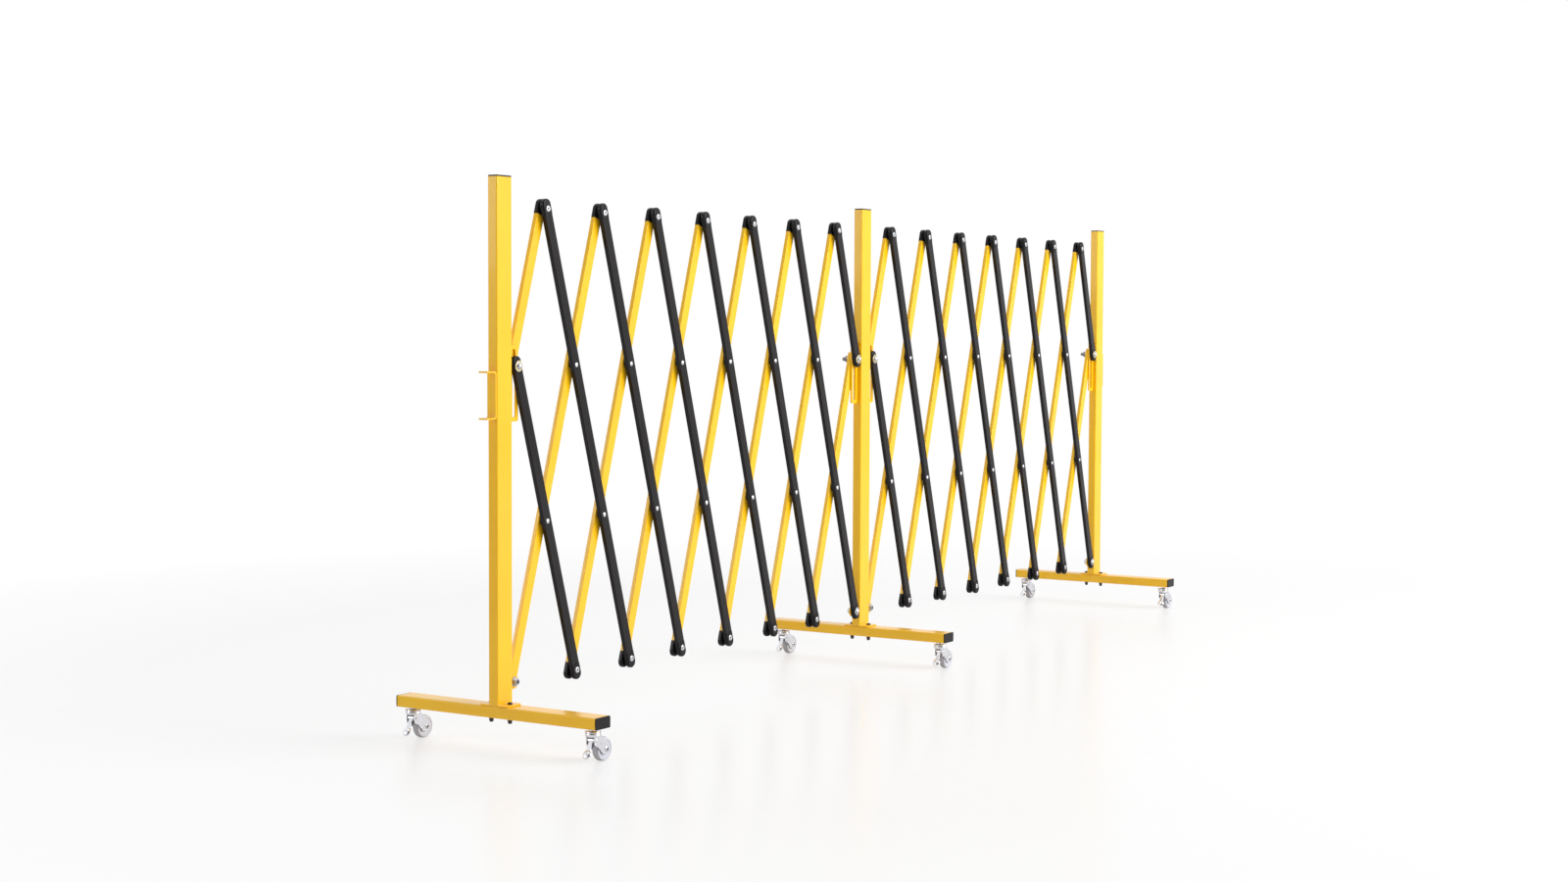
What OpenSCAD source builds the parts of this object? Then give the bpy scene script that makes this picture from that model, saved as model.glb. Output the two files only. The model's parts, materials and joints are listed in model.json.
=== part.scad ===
// Expandable mobile barrier. Three posts stand on castored feet, and two scissor
// lattices of flat tubes, black in front and yellow behind, fold and open between them.
// Front is -Y, up is +Z, and the origin is on the floor under the middle post.

/* [Frame] */
// Height of the posts with their caps, from the floor
total_h = 970; // [820:5:1400]
// Wide side of the post and foot tube
frame_w = 40; // [36:1:60]
// Narrow side of the post and foot tube
frame_t = 20; // [18:0.5:30]
// Wall of the post and foot tube
frame_wall = 1.5; // [1:0.1:2.5]
// Corner radius of the post and foot tube
frame_corner = 2.5; // [2:0.1:4]
// Length of a foot across the barrier, with its caps
foot_len = 430; // [360:5:700]
// Flange of the black caps on posts and feet
cap_flange = 2.5; // [1.5:0.1:5]
// Length of the plate under a post, across the barrier
base_len = 60; // [54:1:90]
// Thickness of the plate under a post
base_t = 3; // [2:0.5:6]
// Distance of the foot bolts from the post's middle
foot_bolt_y = 20; // [20:0.5:24]

/* [Lattice] */
// Pivot columns from one post to the next
columns = 14; // [6:2:14]
// Distance between neighbouring pivots along a bar
bar_pitch = 281; // [240:1:320]
// Lean of the bars from upright, as drawn
lean = 17; // [4:0.5:34]
// Lean of the bars when the barrier is folded
lean_folded = 3; // [3:0.5:10]
// Lean of the bars when the barrier is fully open
lean_open = 35; // [34:0.5:35]
// Height of the lowest pivots above the floor
low_pivot_z = 113.4; // [105:0.2:160]

/* [Bars] */
// Width of a bar's tube
bar_w = 20; // [18:0.5:24]
// Thickness of a bar's tube
bar_t = 8; // [6:0.5:10]
// Wall of a bar's tube
bar_wall = 1; // [0.8:0.1:1.5]
// Corner radius of a bar's tube
bar_corner = 0.9; // [0.6:0.1:2.5]
// How far an end cap stands beyond the bar's edge
cap_side = 1; // [0.6:0.1:3]
// How far an end cap reaches past the pivot
cap_reach = 17.5; // [15:0.5:20]
// Wall of an end cap on the lattice's inner side
cap_wall_in = 0.6; // [0.5:0.1:1]
// Wall of an end cap on the lattice's outer side
cap_wall_out = 0.9; // [0.6:0.1:2]
// How far a plain bar end reaches past the pivot
plain_reach = 12; // [9:0.5:12.5]

/* [Plates] */
// Thickness of the tabs and slotted brackets
plate_t = 3; // [2:0.5:4]
// Clear gap between an end cap and the post beside it, when the barrier is fully open
post_gap = 0.4; // [0.3:0.1:4]
// Strip of a bracket around its slot
strip_w = 6.5; // [5:0.5:12]
// Play of the pin at each side of the slot
slot_side_play = 0.5; // [0.2:0.1:1]
// Play under the pin when the barrier is fully open
slot_low_play = 6.5; // [2:0.5:15]
// Play over the pin when the barrier is folded
slot_high_play = 1.2; // [1:0.1:6]
// Radius of a tab's round end
tab_r = 12; // [9:0.5:14]

/* [Pivots] */
// Shaft of a lattice rivet
rivet_d = 6; // [5:0.2:7]
// Head of a tubular rivet at a lattice tip
tip_head_d = 10; // [9:0.5:12]
// Head of a domed rivet at an inner crossing
dome_head_d = 8.5; // [8:0.1:12]
// Height of the rivet heads
rivet_head_h = 1.3; // [1:0.1:3]
// Hole through a tubular rivet
rivet_eye_d = 3.5; // [2:0.1:4]
// Outer size of the spacers between crossing bars
spacer_d = 14; // [12:0.5:18]
// Thread of the slot pins and post pivots
bolt_d = 8; // [7:0.5:8]
// Length of a slot pin behind the yellow bar
pin_tail = 16; // [14:0.5:24]
// Gap around a pin that a bar turns on
run_clear = 0.12; // [0.1:0.01:0.3]
// Gap between pieces that are clamped or riveted together
seat_clear = 0.05; // [0.03:0.01:0.1]

/* [Couplings] */
// Height of the hook's middle above the floor
hook_z = 602.5; // [450:0.5:700]
// Height of the hook over its two prongs
hook_h = 81; // [60:1:120]
// Reach of the hook from the post
hook_reach = 25; // [15:0.5:25]
// Thickness of the hook's strip
hook_t = 3; // [2:0.5:5]
// Width of the hook and the keeper
hook_w = 18; // [10:0.5:20]
// Outer bend radius of the hook
hook_bend = 6; // [4:0.5:10]
// Height of the keeper's middle above the floor
keeper_z = 609; // [450:0.5:700]
// Length of the keeper
keeper_h = 84; // [60:1:120]
// Thickness of the keeper
keeper_t = 5; // [3:0.5:8]

/* [Castors] */
// Height from the floor to the underside of a foot
castor_h = 58; // [58:0.5:75]
// Wheel diameter
wheel_d = 40; // [34:1:40]
// Wheel width
wheel_w = 14; // [10:0.5:18]
// Distance of the axle from the swivel axis
trail = 25; // [23:0.5:30]
// Distance of a castor's stem from the end of the foot
stem_inset = 21; // [18:0.5:40]
// Diameter of the stem
stem_d = 8; // [6:0.5:8]
// Diameter of the fork's round top
fork_d = 28; // [26:0.5:34]
// Thickness of a fork cheek
cheek_t = 2; // [1.5:0.1:2.5]
// Gap between the wheel and a cheek
cheek_gap = 1; // [0.5:0.1:2]
// Axle diameter
axle_d = 5; // [4:0.5:6]
// Width of the brake pedal's pad
pad_w = 14; // [10:0.5:14]

/* [Hidden] */
$fn = 48;
rows = 3;
yellow = [0.98, 0.80, 0.14];
black = [0.16, 0.15, 0.17];
silver = [0.80, 0.80, 0.82];
grey = [0.86, 0.86, 0.88];

// Gaps between a cap and a plate that it slides along, and in a hole that only holds a thread
plate_play = 0.3;
pair_gap = 0.1;
hole_play = 0.2;

// Cuts run this far past what they cut
past = 1;

// Lattice: columns run along X, levels along Z
column_pitch = bar_pitch * sin(lean);
bars_per_colour = columns / 2 + 1;
cap_r = bar_w / 2 + cap_side;
pivot_out = cap_r + (cap_reach - cap_r) * sin(lean_open) + post_gap;
post_step = frame_w + 2 * pivot_out + columns * column_pitch;
face_in = plate_t / 2 + plate_play + cap_wall_in;
face_out = face_in + bar_t;
cap_in = face_in - cap_wall_in;
cap_out = face_out + cap_wall_out;
tube_past_centre = 1.5;
hidden_reach = cap_reach - cap_r + tube_past_centre;
cap_neck = 11;
cap_taper = 4;
cap_waist = 0.4;
end_corner = 2.5;
bar_plug_in = 0.6;
bar_plug_corner = 0.5;

// Frame heights
foot_top = castor_h + frame_t;
post_bottom = foot_top + base_t;
post_top = total_h - cap_flange;
stem_y = foot_len / 2 - stem_inset;

// Welded plates reach this far into the post's wall
weld_in = frame_wall / 2;
least_corner = 0.3;
base_corner = 6;
bracket_corner = 4;
bracket_root = 8;

// Caps in the frame tubes
plug_len = 12;
plug_corner = 0.8;
plug_in = 2 * (frame_wall + hole_play);
plug_lap = 0.5;

// Slotted brackets
slot_w = bolt_d + 2 * slot_side_play;
bracket_out = pivot_out + slot_w / 2 + strip_w;
pin_low_z = low_pivot_z + 2 * bar_pitch * cos(lean_open);
pin_high_z = low_pivot_z + 2 * bar_pitch * cos(lean_folded);
slot_low_z = pin_low_z - bolt_d / 2 - slot_low_play;
slot_high_z = pin_high_z + bolt_d / 2 + slot_high_play;

// Fasteners
bolt_tail = 9.5;
tail_r = bolt_d / 2 - 0.7;
foot_head_d = 11;
foot_head_h = 4;
pivot_head_h = 3.5;
pin_head_h = 4.5;
washer_t = 1.6;
washer_d = 17;
pin_washer_d = 19;
nut_flats = 13;
nut_h = 6.5;
lock_h = 1.5;
thread_past = 1;
stem_past = 2;
thin_washer = face_in - plate_t / 2 - plate_play;

// Castor, measured from the stem's axis
axle_z = wheel_d / 2;
tread_round = 2.5;
hub_r = 5.5;
rim_w = 4.5;
dish = 0.8;
cheek_in = wheel_w / 2 + cheek_gap;
cheek_out = cheek_in + cheek_t;
collar_h = 4.5;
collar_d = stem_d + 6;
head_h = 9.5;
disc_t = 2.5;
disc_ease = 0.9;
groove_t = 0.6;
groove_in = 2.5;
race_in = 0.5;
cup_h = 3;
cup_ease = 1;
stem_bore = stem_d / 2 + pair_gap;
race_gap = 0.3;
fork_top = castor_h - collar_h;
fork_low = fork_top - head_h;
rivet_pocket = 2;
flare_in = 0.4;
flare_h = 1.3;
flare_r = stem_d / 2 + 2;
pocket_r = flare_r + 0.4;
cheek_root_r = 10;
cheek_root = [3, fork_low - 7.3];
cheek_axle_r = 8;
cheek_top_w = 16;
cheek_lap = 2.4;
hinge_x = -3;
hinge_z = fork_low - 6;
hinge_pin_d = 3;
axle_head_d = 9;
hinge_head_d = 5.5;
castor_pin_head_h = 1.2;
barrel_r = 3.5;
pedal_gap = 1;
lever_lean = 31;
lever_len = 33;
lever_t = 2.2;
lever_w = 8;
lever_in = 0.8;
brake_tip_r = 2;
brake_gap = 0.4;

// Links run their straight sides this far inside their circles, so that the two cross
tuck = 0.02;

SECTIONS = ["left", "right"];
POSTS = ["left", "middle", "right"];
ENDS = ["front", "rear"];

// Where things are
function post_x(p) = p == "left" ? -post_step : p == "right" ? post_step : 0;
function first_column_x(s) = (s == "left" ? -post_step : 0) + frame_w / 2 + pivot_out;
function stem_place(p, e) = [post_x(p), e == "front" ? -stem_y : stem_y, 0];
function sides_with_pivots(p) = p == "left" ? [1] : p == "right" ? [-1] : [-1, 1];

// The column that a bar passes at a level, and its first and last level
function column_at(c, i, level) = c == "yellow" ? 2 * i - rows - 1 + level : 2 * i - level;
function first_level(c, i) = max(0, c == "yellow" ? rows + 1 - 2 * i : 2 * i - columns);
function last_level(c, i) = min(rows, c == "yellow" ? columns + rows + 1 - 2 * i : 2 * i);
function at_post(n) = n == 0 || n == columns;

// Hole in a bar: bolts at the posts, rivets elsewhere. The rivets and slot pins sit in the
// black bars, and every other bar end turns on them or on a post's bolt.
function turns(c, n, level) = c == "yellow" || (at_post(n) && level == 0);
function hole_r(c, n, level) =
    (at_post(n) ? bolt_d : rivet_d) / 2 + (turns(c, n, level) ? run_clear : seat_clear);

// Outlines
module round_rect(w, h, r) {
    square([w - 2 * r, h], center = true);
    square([w, h - 2 * r], center = true);
    for (x = [-1, 1], y = [-1, 1])
        translate([x * (w / 2 - r), y * (h / 2 - r)]) circle(r);
}

// Two discs and the straight sides that touch both
module link_outline(a, ra, b, rb) {
    run = norm(b - a);
    aim = atan2(b[1] - a[1], b[0] - a[0]);
    spread = acos((ra - rb) / run);
    translate(a) circle(ra);
    translate(b) circle(rb);
    polygon([
        a + (ra - tuck) * [cos(aim + spread), sin(aim + spread)],
        b + (rb - tuck) * [cos(aim + spread), sin(aim + spread)],
        b + (rb - tuck) * [cos(aim - spread), sin(aim - spread)],
        a + (ra - tuck) * [cos(aim - spread), sin(aim - spread)]
    ]);
}

// An outline drawn in X and Z, given a thickness along Y about Y 0
module upright_plate(t) {
    rotate([90, 0, 0]) linear_extrude(t, center = true) children();
}

// The same between two values of Y
module upright_slab(y0, y1) {
    translate([0, (y0 + y1) / 2, 0]) upright_plate(y1 - y0) children();
}

// Tube along Z with its lower end at Z 0
module box_tube(w, t, wall, corner, len) {
    linear_extrude(len) difference() {
        round_rect(w, t, corner);
        round_rect(w - 2 * wall, t - 2 * wall, max(corner - wall, least_corner));
    }
}

// Round bar along Y between two values of Y
module along_y(r, y0, y1) {
    translate([0, y0, 0]) rotate([-90, 0, 0]) cylinder(r = r, h = y1 - y0);
}

module ring_along_y(r_out, r_in, y0, y1) {
    difference() {
        along_y(r_out, y0, y1);
        along_y(r_in, y0 - past, y1 + past);
    }
}

// Hexagon nut along Y with its bore
module nut_along_y(y0, y1) {
    difference() {
        translate([0, y0, 0]) rotate([-90, 0, 0])
            cylinder(r = nut_flats / 2 / cos(30), h = y1 - y0, $fn = 6);
        along_y(bolt_d / 2 + seat_clear, y0 - past, y1 + past);
    }
}

// Low dome on a flat face, rising along +Z from Z 0
module dome(d, h) {
    ball_r = (d * d / 4 + h * h) / (2 * h);
    rotate_extrude() intersection() {
        translate([0, h - ball_r]) circle(ball_r);
        square([d, h]);
    }
}

// Frame pieces

module post_cap() {
    color(black) {
        translate([0, 0, post_top]) linear_extrude(cap_flange) round_rect(frame_w, frame_t, frame_corner);
        translate([0, 0, post_top - plug_len]) linear_extrude(plug_len + plug_lap)
            round_rect(frame_w - plug_in, frame_t - plug_in, plug_corner);
    }
}

module foot_cap(side) {
    color(black) translate([0, side * foot_len / 2, castor_h + frame_t / 2]) rotate([side * 90, 0, 0]) {
        linear_extrude(cap_flange) round_rect(frame_w, frame_t, frame_corner);
        translate([0, 0, cap_flange - plug_lap]) linear_extrude(plug_len + plug_lap)
            round_rect(frame_w - plug_in, frame_t - plug_in, plug_corner);
    }
}

// Plate with the long slot that a lattice's sliding pin runs in, on the post's side
module slot_bracket(side) {
    low = slot_low_z - strip_w;
    high = slot_high_z + strip_w;
    inner = frame_w / 2 - weld_in;
    mid = frame_w / 2 + pivot_out;
    color(yellow) scale([side, 1, 1]) upright_plate(plate_t) difference() {
        union() {
            translate([(inner + frame_w / 2 + bracket_out) / 2, (low + high) / 2])
                round_rect(frame_w / 2 + bracket_out - inner, high - low, bracket_corner);
            translate([inner, low]) square([bracket_root, high - low]);
        }
        for (z = [slot_low_z + slot_w / 2, slot_high_z - slot_w / 2]) translate([mid, z]) circle(slot_w / 2);
        translate([mid - slot_w / 2, slot_low_z + slot_w / 2])
            square([slot_w, slot_high_z - slot_low_z - slot_w]);
    }
}

// Tab that carries a lattice's fixed pivot
module pivot_tab(side) {
    inner = frame_w / 2 - weld_in;
    mid = frame_w / 2 + pivot_out;
    color(yellow) scale([side, 1, 1]) upright_plate(plate_t) difference() {
        union() {
            translate([mid, low_pivot_z]) circle(tab_r);
            translate([inner, low_pivot_z - tab_r]) square([mid - inner, 2 * tab_r]);
        }
        translate([mid, low_pivot_z]) circle(bolt_d / 2 + seat_clear);
    }
}

module post(p) {
    translate([post_x(p), 0, 0]) {
        color(yellow) translate([0, 0, post_bottom])
            box_tube(frame_w, frame_t, frame_wall, frame_corner, post_top - post_bottom);
        color(yellow) translate([0, 0, foot_top]) linear_extrude(base_t) difference() {
            round_rect(frame_w, base_len, base_corner);
            for (y = [-1, 1]) translate([0, y * foot_bolt_y]) circle(bolt_d / 2 + hole_play);
        }
        for (side = sides_with_pivots(p)) {
            slot_bracket(side);
            pivot_tab(side);
        }
        if (p == "right") color(yellow)
            translate([frame_w / 2 - weld_in, -hook_w / 2, keeper_z - keeper_h / 2])
                cube([keeper_t + weld_in, hook_w, keeper_h]);
    }
}

module foot(p) {
    color(yellow) translate([post_x(p), 0, 0]) difference() {
        translate([0, foot_len / 2 - cap_flange, castor_h + frame_t / 2]) rotate([90, 0, 0])
            box_tube(frame_w, frame_t, frame_wall, frame_corner, foot_len - 2 * cap_flange);
        for (y = [-1, 1]) {
            translate([0, y * foot_bolt_y, castor_h - past])
                cylinder(r = bolt_d / 2 + hole_play, h = frame_t + 2 * past);
            translate([0, y * stem_y, castor_h - past])
                cylinder(r = stem_d / 2 + hole_play, h = frame_wall + 2 * past);
        }
    }
}

module foot_bolt() {
    color(black) {
        translate([0, 0, castor_h - bolt_tail]) cylinder(r1 = tail_r, r2 = bolt_d / 2, h = bolt_tail);
        translate([0, 0, castor_h]) cylinder(r = bolt_d / 2, h = post_bottom - castor_h);
        translate([0, 0, post_bottom]) dome(foot_head_d, foot_head_h);
    }
}

// Threaded stem with its collar, its riveted lower end and the nut inside the foot
module castor_stem() {
    low = fork_low + flare_in;
    top = castor_h + frame_wall + nut_h + stem_past;
    color(silver) {
        translate([0, 0, low]) cylinder(r = stem_d / 2, h = top - low);
        translate([0, 0, low]) cylinder(r = flare_r, h = flare_h);
        translate([0, 0, fork_top + race_gap]) cylinder(r = collar_d / 2, h = collar_h - race_gap);
        translate([0, 0, castor_h + frame_wall]) cylinder(r = nut_flats / 2 / cos(30), h = nut_h, $fn = 6);
    }
}

// Bolt, washers and lock nut of a fixed pivot. A yellow bar turns behind the tab, so that
// bolt's head is at the back; a black bar turns in front, so its head is at the front.
module fixed_pivot(side) {
    bar_face = side > 0 ? face_out : cap_out;
    translate([side * (frame_w / 2 + pivot_out), 0, low_pivot_z]) scale([1, side, 1]) {
        nut_end = plate_t / 2 + seat_clear + washer_t + seat_clear + nut_h;
        color(silver) {
            along_y(bolt_d / 2, -nut_end - lock_h - thread_past, bar_face + washer_t + seat_clear);
            translate([0, bar_face + washer_t + 2 * seat_clear, 0])
                rotate([-90, 0, 0]) dome(nut_flats, pivot_head_h);
            ring_along_y(washer_d / 2, bolt_d / 2 + seat_clear,
                bar_face + seat_clear, bar_face + washer_t);
            ring_along_y(washer_d / 2, bolt_d / 2 + seat_clear,
                -plate_t / 2 - seat_clear - washer_t, -plate_t / 2 - seat_clear);
            nut_along_y(-nut_end, -nut_end + nut_h);
        }
    }
}

module fittings(p) {
    translate([post_x(p), 0, 0]) {
        post_cap();
        for (y = [-1, 1]) {
            foot_cap(y);
            translate([0, y * foot_bolt_y, 0]) foot_bolt();
            translate([0, y * stem_y, 0]) castor_stem();
        }
        for (side = sides_with_pivots(p)) fixed_pivot(side);
    }
}

// Bent strip on the left post's outer face, its two prongs pointing away from the barrier
module coupling_hook() {
    color(yellow) translate([post_x("left") - frame_w / 2, 0, hook_z]) upright_plate(hook_w)
        difference() {
            translate([-hook_reach, 0]) round_rect(2 * hook_reach, hook_h, hook_bend);
            translate([-hook_reach - hook_t, 0])
                round_rect(2 * hook_reach, hook_h - 2 * hook_t, hook_bend - hook_t);
            translate([-3 * hook_reach, -hook_h]) square([2 * hook_reach, 2 * hook_h]);
        }
}

// Bar pieces, in the bar's own frame: the level 0 pivot is at the origin, the bar runs
// along +Z, and the lattice's middle plane is Y 0 with the bar on the +Y side

module bar_tube(c, i) {
    low = first_level(c, i);
    high = last_level(c, i);
    low_plain = c == "yellow" && at_post(column_at(c, i, low));
    high_plain = c == "yellow" && at_post(column_at(c, i, high));
    start = low * bar_pitch - (low_plain ? plain_reach : hidden_reach);
    end = high * bar_pitch + (high_plain ? plain_reach : hidden_reach);
    color(c == "yellow" ? yellow : black) difference() {
        intersection() {
            translate([0, (face_in + face_out) / 2, start])
                box_tube(bar_w, bar_t, bar_wall, bar_corner, end - start);
            upright_slab(face_in - past, face_out + past) translate([0, (start + end) / 2])
                round_rect(bar_w, end - start, end_corner);
        }
        for (level = [low:high]) translate([0, 0, level * bar_pitch])
            along_y(hole_r(c, column_at(c, i, level), level), face_in - past, face_out + past);
    }
    for (plain = [[low_plain, start, 1], [high_plain, end, -1]]) if (plain[0])
        bar_plug(plain[1], plain[2]);
}

// Dark plug in a plain tube end; way is the direction into the tube
module bar_plug(end, way) {
    plug_len = plain_reach - bar_plug_in - bolt_d / 2 - thread_past;
    narrower = 2 * (bar_wall + seat_clear);
    color(black) translate([0, (face_in + face_out) / 2, end + way * (bar_plug_in + plug_len / 2)])
        linear_extrude(plug_len, center = true)
            round_rect(bar_w - narrower, bar_t - narrower, bar_plug_corner);
}

// Black cap over a bar's end; way is the direction into the tube
module end_cap(c, i, level, way) {
    shoulder = cap_neck - cap_taper;
    waist = cap_r - cap_waist;
    color(black) translate([0, 0, level * bar_pitch]) difference() {
        upright_slab(cap_in, cap_out) scale([1, way]) {
            translate([0, cap_r - cap_reach]) circle(cap_r);
            polygon([[-cap_r, cap_r - cap_reach], [-cap_r, shoulder], [-waist, cap_neck],
                [waist, cap_neck], [cap_r, shoulder], [cap_r, cap_r - cap_reach]]);
        }
        translate([0, (face_in + face_out) / 2, way * (cap_neck - hidden_reach) / 2])
            cube([bar_w + 2 * seat_clear, bar_t + 2 * seat_clear,
                cap_neck + hidden_reach + 2 * seat_clear], center = true);
        along_y(hole_r(c, column_at(c, i, level), level), cap_in - past, cap_out + past);
    }
}

// Tubular rivet and spacer through two capped tips
module tip_rivet() {
    color(silver) difference() {
        union() {
            along_y(rivet_d / 2, -cap_out - seat_clear - rivet_head_h, cap_out + seat_clear + rivet_head_h);
            for (side = [-1, 1]) translate([0, side * (cap_out + seat_clear + rivet_head_h / 2), 0])
                along_y(tip_head_d / 2, -rivet_head_h / 2, rivet_head_h / 2);
        }
        along_y(rivet_eye_d / 2, -cap_out - rivet_head_h - past, cap_out + rivet_head_h + past);
    }
    color(black)
        ring_along_y(spacer_d / 2, rivet_d / 2 + seat_clear, -cap_in + pair_gap, cap_in - seat_clear);
}

// Domed rivet and spacer where two bars cross
module cross_rivet() {
    color(silver) {
        along_y(rivet_d / 2, -face_out - seat_clear, face_out + seat_clear);
        for (side = [-1, 1]) translate([0, side * (face_out + seat_clear), 0])
            rotate([-90 * side, 0, 0]) dome(dome_head_d, rivet_head_h);
    }
    color(black)
        ring_along_y(spacer_d / 2, rivet_d / 2 + seat_clear, -face_in + pair_gap, face_in - seat_clear);
}

// Bolt that slides in a bracket's slot, through a black cap and a plain yellow end
module slot_pin() {
    back = -face_out - pair_gap;
    inside = -face_in + pair_gap;
    nut_start = back - washer_t - seat_clear;
    color(silver) {
        along_y(bolt_d / 2, -face_out - pin_tail, cap_out + washer_t + seat_clear);
        translate([0, cap_out + washer_t + 2 * seat_clear, 0])
            rotate([-90, 0, 0]) dome(nut_flats, pin_head_h);
        ring_along_y(pin_washer_d / 2, bolt_d / 2 + seat_clear,
            cap_out + seat_clear, cap_out + washer_t);
        ring_along_y(washer_d / 2, bolt_d / 2 + seat_clear, back - washer_t, back);
        nut_along_y(nut_start - nut_h, nut_start);
        ring_along_y(washer_d / 2, bolt_d / 2 + seat_clear, inside, inside + thin_washer);
    }
}

// One bar with all that moves with it
module bar(c, i) {
    low = first_level(c, i);
    high = last_level(c, i);
    bar_tube(c, i);
    if (c == "black" || !at_post(column_at(c, i, low))) end_cap(c, i, low, 1);
    if (c == "black" || !at_post(column_at(c, i, high))) end_cap(c, i, high, -1);
    if (c == "black") for (level = [low:high]) translate([0, 0, level * bar_pitch]) {
        n = column_at(c, i, level);
        if (!at_post(n) && (level == 0 || level == rows)) tip_rivet();
        if (!at_post(n) && level > 0 && level < rows) cross_rivet();
        if (at_post(n) && level > 0) slot_pin();
    }
}

// The bar in its place: yellow leans to the right behind, black to the left in front
module lattice_bar(s, c, i) {
    x = first_column_x(s) + column_at(c, i, 0) * column_pitch;
    translate([x, 0, low_pivot_z]) rotate([0, c == "yellow" ? lean : -lean, 0])
        scale([1, c == "yellow" ? 1 : -1, 1]) bar(c, i);
}

// Castor pieces, measured from the stem's axis

// Bearing disc, groove, ball race and the cup that the cheeks hang from
module fork_head() {
    r = fork_d / 2;
    race_top = fork_top - disc_t - groove_t;
    rotate_extrude() polygon([
        [stem_bore, fork_top], [r - 2 * disc_ease, fork_top], [r, fork_top - disc_ease],
        [r, fork_top - disc_t + disc_ease / 2], [r - groove_in, fork_top - disc_t],
        [r - groove_in, race_top], [r - race_in, race_top - race_in],
        [r - race_in, fork_low + cup_h], [r - race_in - cup_ease, fork_low], [pocket_r, fork_low],
        [pocket_r, fork_low + rivet_pocket], [stem_bore, fork_low + rivet_pocket]
    ]);
}

module cheek_outline() {
    link_outline(cheek_root, cheek_root_r, [trail, axle_z], cheek_axle_r);
    translate([cheek_root.x - cheek_root_r + tuck, cheek_root.y])
        square([cheek_top_w, fork_low + cheek_lap - cheek_root.y]);
}

module fork(p, e) {
    translate(stem_place(p, e)) {
        color(silver) difference() {
            union() {
                fork_head();
                for (side = [-1, 1]) translate([0, side * (cheek_in + cheek_t / 2), 0])
                    upright_plate(cheek_t) cheek_outline();
            }
            translate([trail, 0, axle_z])
                along_y(axle_d / 2 + seat_clear, -cheek_out - past, cheek_out + past);
            translate([hinge_x, 0, hinge_z])
                along_y(hinge_pin_d / 2 + seat_clear, -cheek_out - past, cheek_out + past);
        }
        translate([trail, 0, axle_z]) axle_pin(axle_d, axle_head_d);
        translate([hinge_x, 0, hinge_z]) axle_pin(hinge_pin_d, hinge_head_d);
    }
}

// Pin through both cheeks with a low head at each side
module axle_pin(d, head_d) {
    reach = cheek_out + seat_clear;
    color(silver) {
        along_y(d / 2, -reach, reach);
        for (side = [-1, 1]) translate([0, side * reach, 0])
            rotate([-90 * side, 0, 0]) dome(head_d, castor_pin_head_h);
    }
}

module wheel(p, e) {
    r = wheel_d / 2;
    half = wheel_w / 2;
    bore = axle_d / 2 + run_clear;
    color(grey) translate(stem_place(p, e) + [trail, 0, axle_z]) rotate([90, 0, 0]) rotate_extrude()
        difference() {
            union() {
                translate([bore, -half]) square([r - tread_round - bore, wheel_w]);
                translate([bore, -half + tread_round]) square([r - bore, wheel_w - 2 * tread_round]);
                for (y = [-1, 1]) translate([r - tread_round, y * (half - tread_round)]) circle(tread_round);
            }
            for (y = [-1, 1]) translate([hub_r, y * half - dish])
                square([r - hub_r - rim_w, 2 * dish]);
        }
}

// Brake pedal: a barrel on its pin, a tip that meets the tread and a lever with a round pad
module pedal(p, e) {
    to_axle = [trail - hinge_x, axle_z - hinge_z];
    tip_run = norm(to_axle) - wheel_d / 2 - brake_gap - brake_tip_r;
    tip = to_axle / norm(to_axle) * tip_run;
    arm_w = 2 * (cheek_in - pedal_gap);
    color(silver) translate(stem_place(p, e) + [hinge_x, 0, hinge_z]) difference() {
        union() {
            upright_plate(arm_w) link_outline([0, 0], barrel_r, tip, brake_tip_r);
            rotate([0, lever_lean, 0]) {
                translate([-lever_t / 2 - lever_in, -lever_w / 2, pad_w / 2 - lever_len])
                    cube([lever_t, lever_w, lever_len - pad_w / 2]);
                translate([-lever_t / 2 - lever_in, 0, pad_w / 2 - lever_len])
                    rotate([0, 90, 0]) cylinder(r = pad_w / 2, h = lever_t);
            }
        }
        along_y(hinge_pin_d / 2 + run_clear, -pad_w, pad_w);
    }
}

for (p = POSTS) {
    post(p);
    foot(p);
    fittings(p);
}
coupling_hook();  // left_hook
for (s = SECTIONS) for (c = ["yellow", "black"]) for (i = [1:bars_per_colour])
    lattice_bar(s, c, i);
for (p = POSTS) for (e = ENDS) {
    fork(p, e);
    wheel(p, e);
    pedal(p, e);
}
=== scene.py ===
"""Dresses the CAD frame of an expandable barrier on castors for a studio picture"""

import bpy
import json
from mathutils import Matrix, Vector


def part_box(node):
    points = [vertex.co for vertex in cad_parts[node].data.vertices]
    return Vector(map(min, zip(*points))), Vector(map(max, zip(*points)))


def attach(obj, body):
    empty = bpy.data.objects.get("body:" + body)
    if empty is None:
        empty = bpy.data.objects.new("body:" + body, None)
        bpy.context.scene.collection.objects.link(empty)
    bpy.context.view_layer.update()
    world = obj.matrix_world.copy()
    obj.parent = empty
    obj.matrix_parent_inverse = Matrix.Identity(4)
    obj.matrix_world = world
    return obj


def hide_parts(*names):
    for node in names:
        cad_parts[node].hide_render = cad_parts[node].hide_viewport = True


bl_info = {
    "name": "Expandable barrier",
    "version": (1, 0, 0),
    "blender": (4, 5, 0),
    "location": "3D View > Sidebar > Barrier",
    "description": "Makes the visible pieces of an expandable barrier over its CAD frame",
    "category": "Object",
}

import json
import math

import bmesh
import bpy
from mathutils import Matrix, Vector

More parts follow.
